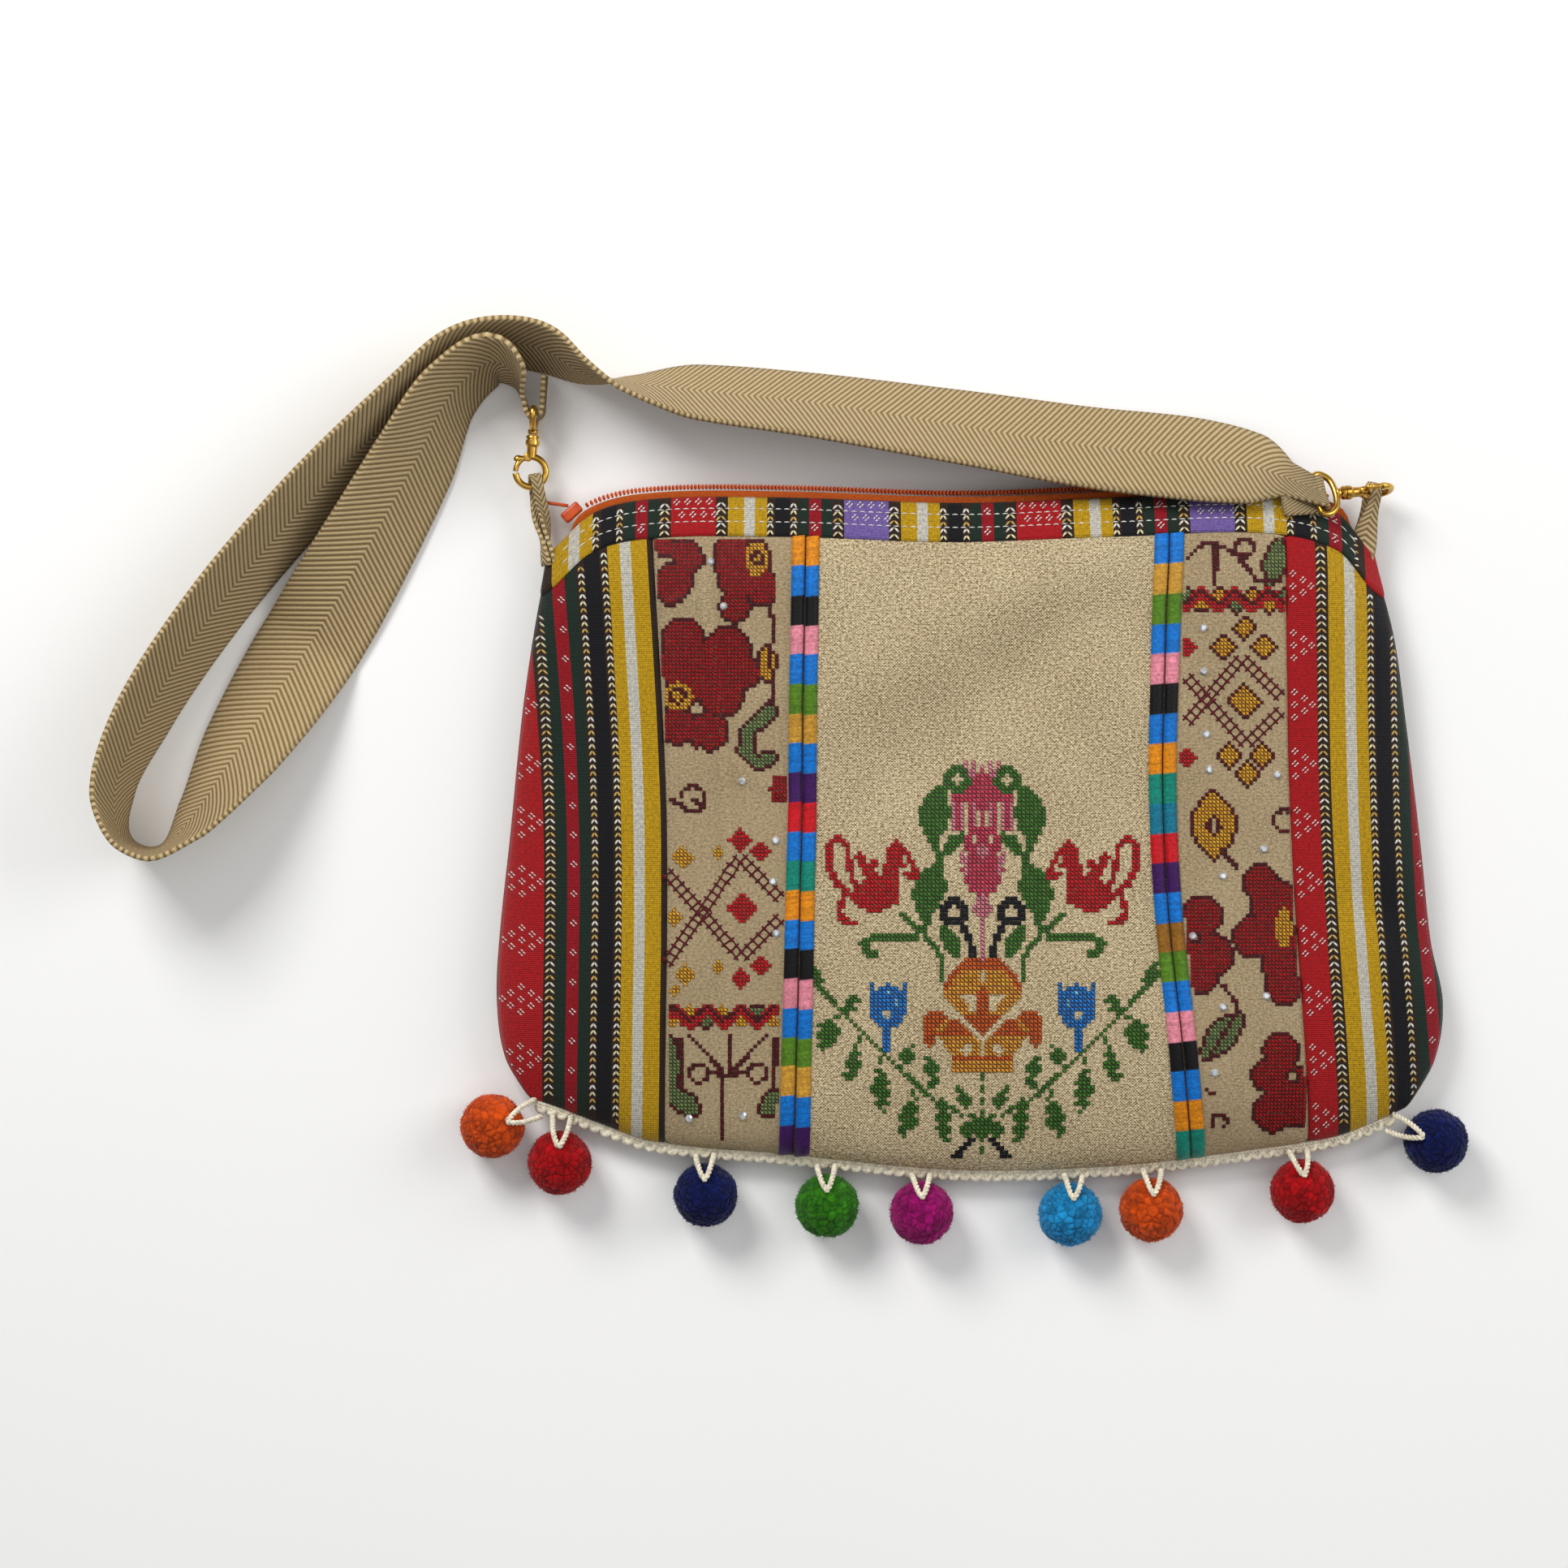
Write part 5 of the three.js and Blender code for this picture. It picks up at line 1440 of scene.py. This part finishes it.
def vine(chart):
    chart.strokes("leaf", (1.5, (0, 1), (0, 21)),
        (1.4, (0, 10), (5.5, 11.6), (9.6, 13.6), (14.6, 17.0), (19.6, 21.6), (25, 26), (30, 31.4),
         (35, 36.4), (41.6, 46)))
    for x, y, wide, tall, turn in (
            (37.8, 31, 3.0, 4.8, 24), (41, 44.6, 1.9, 4.6, -30), (31.8, 22.4, 1.9, 4.4, 26),
            (24.8, 17.2, 2.3, 6.0, -8), (17.8, 10.4, 2.3, 5.8, 18), (9.4, 9.2, 2.0, 6.2, -8),
            (12.4, 21.8, 1.9, 4.6, -14), (18.4, 25.4, 1.8, 4.0, 34), (4.6, 15.6, 2.0, 3.8, -30),
            (31.8, 38.2, 1.7, 3.4, 34), (3.6, 7.4, 1.7, 3.4, 46)):
        chart.leaf(x, y, wide, tall, "leaf", turn)
    for stalk in (
            ((34.6, 36.8), (37.2, 32.8)), ((29, 31), (32, 24.5)), ((25, 26), (24.8, 21)),
            ((16, 18), (17.6, 14)), ((9.6, 13.6), (9.2, 11)), ((13, 16), (12.4, 20)), ((21, 23), (18.6, 25))):
        chart.stroke(stalk, 1.3, "leaf")
    chart.lozenge(0, 8, 2.8, 3.4, "leaf")
    chart.serrate("leaf")
    chart.strokes("ink", (1.7, (2.8, 5), (6.2, 1.2)), (1.2, (4.6, 0.8), (6.8, 0.8)))


def centre_motif():
    chart = Chart(-43, 43, 0, 100, 1)
    for draw in (vine, scrolls, bird, tulip, amber_flower, rose_column):
        draw(chart)
    chart.mirror()
    cross_stitches("centre_motif_stitches", chart, MOTIF_ORIGIN, STITCH, STITCH, "linen")


centre_motif()

# Flowered strips, charted in millimetres on the bag.
STRIP_STITCH = 1.35
ABOVE_HEM = 0.012
TRELLIS_MESH = 3.0


def poppy(chart, lobes, gap=None):
    for x, y, radius in lobes:
        chart.oval(x, y, radius, radius, "poppy")
    if gap:
        chart.oval(*gap, BARE)


def trellis(name, *runs):
    """Diagonal bands of long stitches: two rails and a rung at every mesh."""
    starts, ends = [], []
    for run in runs:
        a, b = np.array(run[0], float), np.array(run[1], float)
        length = np.linalg.norm(b - a)
        way = (b - a) / length
        side = vec(-way[1], way[0])
        count = max(1, round(length / TRELLIS_MESH))
        for k in range(count):
            low, high = lerp(a, b, k / count), lerp(a, b, (k + 1) / count)
            for off in (-0.5, 0.5):
                starts.append(low + side * TRELLIS_MESH * off)
                ends.append(high + side * TRELLIS_MESH * off)
            for off in (-0.92, 0.0):
                starts.append((low + high) / 2 + side * TRELLIS_MESH * off)
                ends.append((low + high) / 2 + side * TRELLIS_MESH * (off + 0.92))
    tints = [dyed(STITCH_DYES["wine"], rng.uniform(0.8, 1.25)) for _ in starts]
    pile = Pile()
    stitch_bars(pile, starts, ends, 0.95, 0.5, 0.05, tints)
    done(pile.piece(name, SILK), "flowered_cloth")


def zigzag(chart, low_x, high_x, y, tall, pitch):
    xs = np.arange(low_x, high_x, pitch / 2)
    points = [(x, y + tall * (0.5 if k % 2 else -0.5)) for k, x in enumerate(xs)]
    chart.stroke(points, 4.6, "red")
    chart.stroke([(x, y + 1) for x, y in points], 1.2, "wine")
    for k, x in enumerate(xs):
        chart.lozenge(x, y - tall * (0.5 if k % 2 else -0.5) * 0.8, 2.6, 2.2, "gold" if k % 3 else "sage")


def tufts(chart, dye, *spots):
    for x, y, radius in spots:
        chart.lozenge(x, y, radius * 1.25, radius * 1.25, dye)


def within(low_at, high_at):
    """Whether stitches lie on the cloth between two lines that change with the rise."""
    def keep(x, y):
        rise = rise_at(x, y)
        on_cloth = (rise < band_rise(x) - UNDER_BAND) & (rise > ABOVE_HEM)
        return on_cloth & (x > low_at(rise)) & (x < high_at(rise))
    return keep


def left_strip_stitches():
    chart = Chart(-120, -66, -118, 112, STRIP_STITCH)
    poppy(chart, ((-113, 104, 5), (-106, 101, 6.5), (-110, 92, 6.5)), (-112.4, 100.4, 4.0, 2.2))
    poppy(chart, ((-88, 104, 6), (-86, 95, 7), (-87, 84, 5), (-77, 91, 6), (-90, 98, 4)))
    poppy(chart, ((-106, 72, 7), (-90, 68, 8), (-98, 62, 9), (-84, 60, 6), (-92, 52, 8), (-104, 56, 7),
                  (-108, 40, 6), (-97, 38, 6.4), (-112, 62, 5)))
    chart.oval(-100, 30, 2.6, 3.4, BARE)
    chart.oval(-79, 101, 4.2, 6.4, "gold")
    chart.ring(-78.4, 101, 2.0, 1.5, "wine")
    chart.oval(-108, 51, 5.6, 5.2, "gold")
    chart.ring(-108, 51, 2.4, 1.5, "wine")
    chart.oval(-75, 63, 2.6, 6.0, "gold")
    chart.stroke([(-74, 84), (-72.4, 74), (-74.6, 66), (-72.2, 56), (-74, 46)], 1.5, "wine")
    chart.stroke([(-74, 45.4), (-82, 38), (-83, 31), (-79, 26.4), (-73.6, 28.4)], 4.2, "sage")
    chart.outline(("poppy", "gold", "sage"), "wine")
    chart.ring(-102.6, 13.3, 4.6, 1.5, "wine", -150, 160)
    chart.strokes("wine", (1.5, (-106.6, 11), (-112, 14)), (1.5, (-102.6, 13.3), (-100, 11)))
    chart.oval(-70.6, 17, 3.6, 5.4, "poppy")
    tufts(chart, "red", (-84.8, -2, 3.6), (-77.4, -6.4, 3.2), (-85, -52.6, 3.6), (-77.4, -48, 3.2),
          (-84.2, -26.6, 5))
    tufts(chart, "gold", (-106, -8.6, 3.6), (-93, -6.6, 2.2), (-109, -30.6, 2.8), (-105.4, -51, 3.4),
          (-93, -49, 2.2), (-109, -57, 2))
    zigzag(chart, -116, -68, -66.4, 5.2, 12.4)
    chart.strokes("wine", (1.7, (-88.6, -73), (-88.6, -88)), (1.7, (-91.6, -88), (-92, -114)))
    for reach in (-1, 1):
        chart.stroke([(-89.6 + reach * 14, -73.4), (-89.6 + reach * 1.6, -86.6)], 1.6, "wine")
        chart.ring(-89.4 + reach * 10.8, -87.2, 3.4, 1.5, "wine")
        chart.strokes("wine", (1.6, (-89.4 + reach * 7, -87), (-89.6, -88)),
            (1.6, (-89.6 + reach * 17.6, -74), (-89.6 + reach * 17.2, -95)))
    chart.leaf(-111, -85, 3.4, 12, "sage", 0)
    chart.leaf(-106, -98, 3.6, 7.4, "sage", 56)
    chart.leaf(-72.6, -98, 3.4, 6.4, "sage", -50)
    chart.outline(("sage",), "wine")
    keep = within(
        lambda rise: seam_at("stripe_left", rise) + 1,
        lambda rise: seam_at("flower_left", rise) - 0.8 - 5.7 * np.clip((rise - 0.62) / 0.3, 0, 1))
    cross_stitches("flowered_strip_left_stitches", chart, (0, 0), 1, STRIP_STITCH, "flowered_cloth", keep)


def right_strip_stitches():
    chart = Chart(74, 128, -116, 112, STRIP_STITCH)
    chart.strokes("wine", (1.7, (79.4, 101.5), (85.7, 107.3), (92.4, 105.4), (97.2, 102.5), (105, 92.9)),
        (1.7, (89.6, 105), (89.2, 92)))
    chart.ring(100.4, 105.2, 3.2, 1.5, "wine")
    chart.leaf(111.4, 100, 3.6, 8.8, "sage", -14)
    chart.stroke([(104, 92.6), (114, 94)], 1.5, "wine")
    zigzag(chart, 78, 120, 86.2, 5.0, 12.4)
    tufts(chart, "gold", (100, 76, 3.0), (92.4, 69.3, 3.2), (107, 69.3, 3.2), (100, 49.2, 4.6),
          (94.3, 28.9, 3.2), (106.4, 28.9, 3.2), (101, 22.6, 3.0))
    tufts(chart, "red", (78.5, 68.8, 3.2), (78.5, 28.4, 3.2))
    chart.leaf(88.6, 3.6, 7.6, 12.4, "gold")
    chart.lozenge(88.8, 3.4, 3.2, 4.6, "wine")
    chart.lozenge(88.8, 3.4, 1.5, 2.4, BARE)
    chart.stroke([(91.6, -5), (93.6, -8), (97.5, -12.4)], 1.6, "wine")
    chart.ring(114.4, 5.3, 3.8, 1.5, "wine")
    poppy(chart, ((105.6, -17, 5.6), (111, -25, 8), (103.4, -37.4, 7), (112, -40, 7), (114.6, -56, 6),
                  (113, -48, 6)))
    chart.oval(114.4, -34, 3.0, 7.6, "gold")
    poppy(chart, ((84.3, -29.6, 6.6), (88.6, -44, 6.6), (84, -52, 5.4), (80, -40, 8)), (82.4, -38, 2.0, 2.2))
    poppy(chart, ((113.6, -79, 6), (108.6, -88, 5.2), (116, -92, 8), (111.4, -101, 7), (120, -100, 6)),
          (118.4, -88.8, 2.8, 2.8))
    chart.stroke([(92, -55), (97.4, -62), (97.6, -66)], 1.6, "wine")
    chart.leaf(91.6, -73.6, 4.6, 11.0, "sage", -42)
    chart.outline(("poppy", "gold", "sage"), "wine")
    chart.stroke([(96.4, -66), (86.6, -82)], 1.2, "wine")
    chart.ring(91, -105, 2.8, 1.4, "wine", -30, 210)
    chart.stroke([(86, -93), (89, -95)], 1.5, "wine")
    keep = within(
        lambda rise: seam_at("flower_right", rise) + 0.6, lambda rise: seam_at("stripe_right", rise) - 0.6)
    cross_stitches("flowered_strip_right_stitches", chart, (0, 0), 1, STRIP_STITCH, "flowered_cloth", keep)


# Woven figures of the stripe cloth: chains, dice and flower clusters.
CLUSTER = (
    (0, 0), (0, 4.6), (0, -4.6), (3.7, 2.3), (-3.7, 2.3), (3.7, -2.3), (-3.7, -2.3), (6.6, 0), (-6.6, 0))
CLUSTER_PITCH, DICE_PITCH, CHAIN_PITCH = 21.7, 10.8, 2.5
CHAIN_DYES = (rgb(232, 216, 170), rgb(244, 236, 214), rgb(202, 166, 92))
CHAIN_WIDTH, DIE_WIDTH, DIE_ARM, DASH_HEIGHT = 0.75, 0.5, 0.85, 0.45
WHITE = rgb(240, 234, 222)
# Rows of figures up a side strip, then the reach, height and running stitches of the bands.
SIDE_CHAIN, SIDE_DICE = (-110, 112), np.arange(-108, 110, DICE_PITCH)
SIDE_CLUSTERS, SIDE_REACH = np.arange(-104, 112, CLUSTER_PITCH), 80
BAND_FROM, BAND_TO, BAND_LOW, BACK_BAND_LOW = -150, 143, 0.4, 3.0
RUNNING_ROWS, RUNNING_PLACES = (5.0, 9.8), np.arange(-38, 254, 3.1)
RUNNING_HALF, RUNNING_WIDTH = 1.05, 0.42


class Figures:
    """Short raised dashes collected for one piece of stripe cloth."""

    def __init__(self, place, lift, behind=False):
        self.place, self.lift, self.behind = place, lift, behind
        self.dashes = {}

    def dash(self, t, s, reach_t, reach_s, dye, width):
        a, b = self.place(t - reach_t, s - reach_s), self.place(t + reach_t, s + reach_s)
        if a is not None and b is not None:
            self.dashes.setdefault(width, []).append((a, b, dyed(dye, rng.uniform(0.86, 1.08))))

    def die(self, t, s):
        for dt, ds in ((DIE_ARM, 0), (-DIE_ARM, 0), (0, DIE_ARM), (0, -DIE_ARM)):
            self.dash(t + dt, s + ds, 0.42, 0.34, WHITE, DIE_WIDTH)

    def chain(self, t, width, low, high):
        for k, s in enumerate(np.arange(low, high, CHAIN_PITCH)):
            for half in (-1, 1):
                dye = CHAIN_DYES[k % len(CHAIN_DYES)]
                self.dash(t + half * width * 0.2, s, -half * width * 0.17, 0.8, dye, CHAIN_WIDTH)

    def piece(self, name):
        pile = Pile()
        for width, dashes in sorted(self.dashes.items()):
            starts, ends, tints = zip(*dashes)
            stitch_bars(pile, starts, ends, width, DASH_HEIGHT, self.lift, tints, self.behind)
        return done(pile.piece(name, SILK), "striped_cloth")


def side_figures(side, seam_name, edge_at, start, way):
    """Figures on a side strip: t counts from the inner seam outwards, s up the bag."""
    def place(t, s):
        guess = rise_at(-140.0 if way < 0 else 140.0, s)
        x = float(seam_at(seam_name, guess) + way * (t - start))
        rise = float(rise_at(x, s))
        outside = (x - edge_at(rise)) * way > -0.8
        under = rise > band_rise(x) - UNDER_BAND or rise < 0.01
        return None if outside or under or t < start + 0.7 else (x, s)

    figures = Figures(place, 0.0)
    for kind, first, width, _ in stripes():
        for turn in (0, 2 * REPEAT_WIDTH):
            t = first + turn + width / 2
            if not start - width < t < start + SIDE_REACH:
                continue
            if kind == "braid":
                figures.chain(t, width, *SIDE_CHAIN)
            elif kind == "dice":
                for s in SIDE_DICE:
                    figures.die(t, s)
            elif kind == "flowers":
                for s in SIDE_CLUSTERS:
                    for dt, ds in CLUSTER:
                        figures.die(t + dt, s + ds)
    figures.piece("striped_strip_%s_figures" % side)


def band_figures(name, lift, behind):
    """Figures on the front or the back band: t runs along the zip, s up its height."""
    def place(t, s):
        x = t - BAND_STRIPE
        if not (BAND_FROM < x < BAND_TO and low < s < BAND_HEIGHT - 0.5):
            return None
        return x, float(lerp(hem_at(x), zip_at(x), band_rise(x) + s / (zip_at(x) - hem_at(x))))

    low = BACK_BAND_LOW if behind else BAND_LOW
    figures = Figures(place, lift, behind)
    for repeat in range(-1, 3):
        for kind, first, width, _ in stripes():
            t = first + width / 2 + repeat * 2 * REPEAT_WIDTH
            if kind == "braid":
                figures.chain(t, width, low + 0.8, BAND_HEIGHT - 0.6)
            elif kind == "dice":
                for s in (low + 2.8, 11.0):
                    figures.die(t, s)
            elif kind == "flowers":
                for dt in (-6, -2, 2, 6):
                    for s in (7.6, 12.4):
                        figures.die(t + dt + (2 if s < 9 else 0), s)
    for s in RUNNING_ROWS:
        for t in RUNNING_PLACES:
            figures.dash(t, s, RUNNING_HALF, 0, WHITE, RUNNING_WIDTH)
    figures.piece(name)


# Places of the cut stones on the flowered strips.
STONES = (
    (-96, 100), (-91, 84), (-84, 20), (-72, -2), (-73, -17), (-72, -36), (-104, -104), (-84, -103),
    (85, 76), (85, 60), (86, 37), (87, 24), (112, 22), (107, -5), (92, -15), (81, -37), (108, -59), (92, -63),
    (89, -87))
# Foot, girdle and table of a stone: radius and height.
STONE_RINGS, STONE_SIDES = ((1.55, -0.1), (1.5, 0.45), (0.85, 1.1)), 8


def cut_stones():
    """Small cut stones with a table and eight facets."""
    crystal = Finish("cut_crystal", 0.8, metallic=0.55, roughness=0.08)
    glint = crystal.noise(crystal.place(), 500.0)
    crystal.colour(crystal.ramp(glint, ((0.3, rgb(150, 158, 160)), (0.7, rgb(246, 248, 250)))))
    stones = Pile()
    turns = round_turns(STONE_SIDES) + math.pi / STONE_SIDES
    for x, y in STONES:
        rings = [on_front(x + r * np.cos(turns), y + r * np.sin(turns), by) for r, by in STONE_RINGS]
        for low, high in zip(rings, rings[1:]):
            for k in range(STONE_SIDES):
                m = (k + 1) % STONE_SIDES
                stones.add([low[k], low[m], high[m], high[k]], [(0, 1, 2, 3)], UNDYED)
        stones.add(rings[-1], [tuple(range(STONE_SIDES))], UNDYED)
    piece = stones.piece("cut_stones", crystal)
    piece.data.shade_flat()
    done(piece, "flowered_cloth")


left_strip_stitches()
right_strip_stitches()
trellis("flowered_strip_left_trellis", ((-112.4, -13.2), (-84.6, -45)), ((-112.4, -47.6), (-85, -8)),
        ((-85, -8), (-70, -23.6)), ((-70, -30), (-84.6, -45)))
trellis("flowered_strip_right_trellis", ((99, 65), (113.6, 50.4)), ((99, 65), (78.4, 41)),
        ((78.4, 58.4), (100.6, 33.2)), ((100.6, 33.2), (113.6, 46)))
side_figures("left", "stripe_left", edge("left"), LEFT_STRIPE, -1)
side_figures("right", "stripe_right", edge("right"), RIGHT_STRIPE, 1)
band_figures("top_band_figures", BAND_LIFT, False)
band_figures("top_band_back_figures", BACK_FIGURE_LIFT, True)
cut_stones()
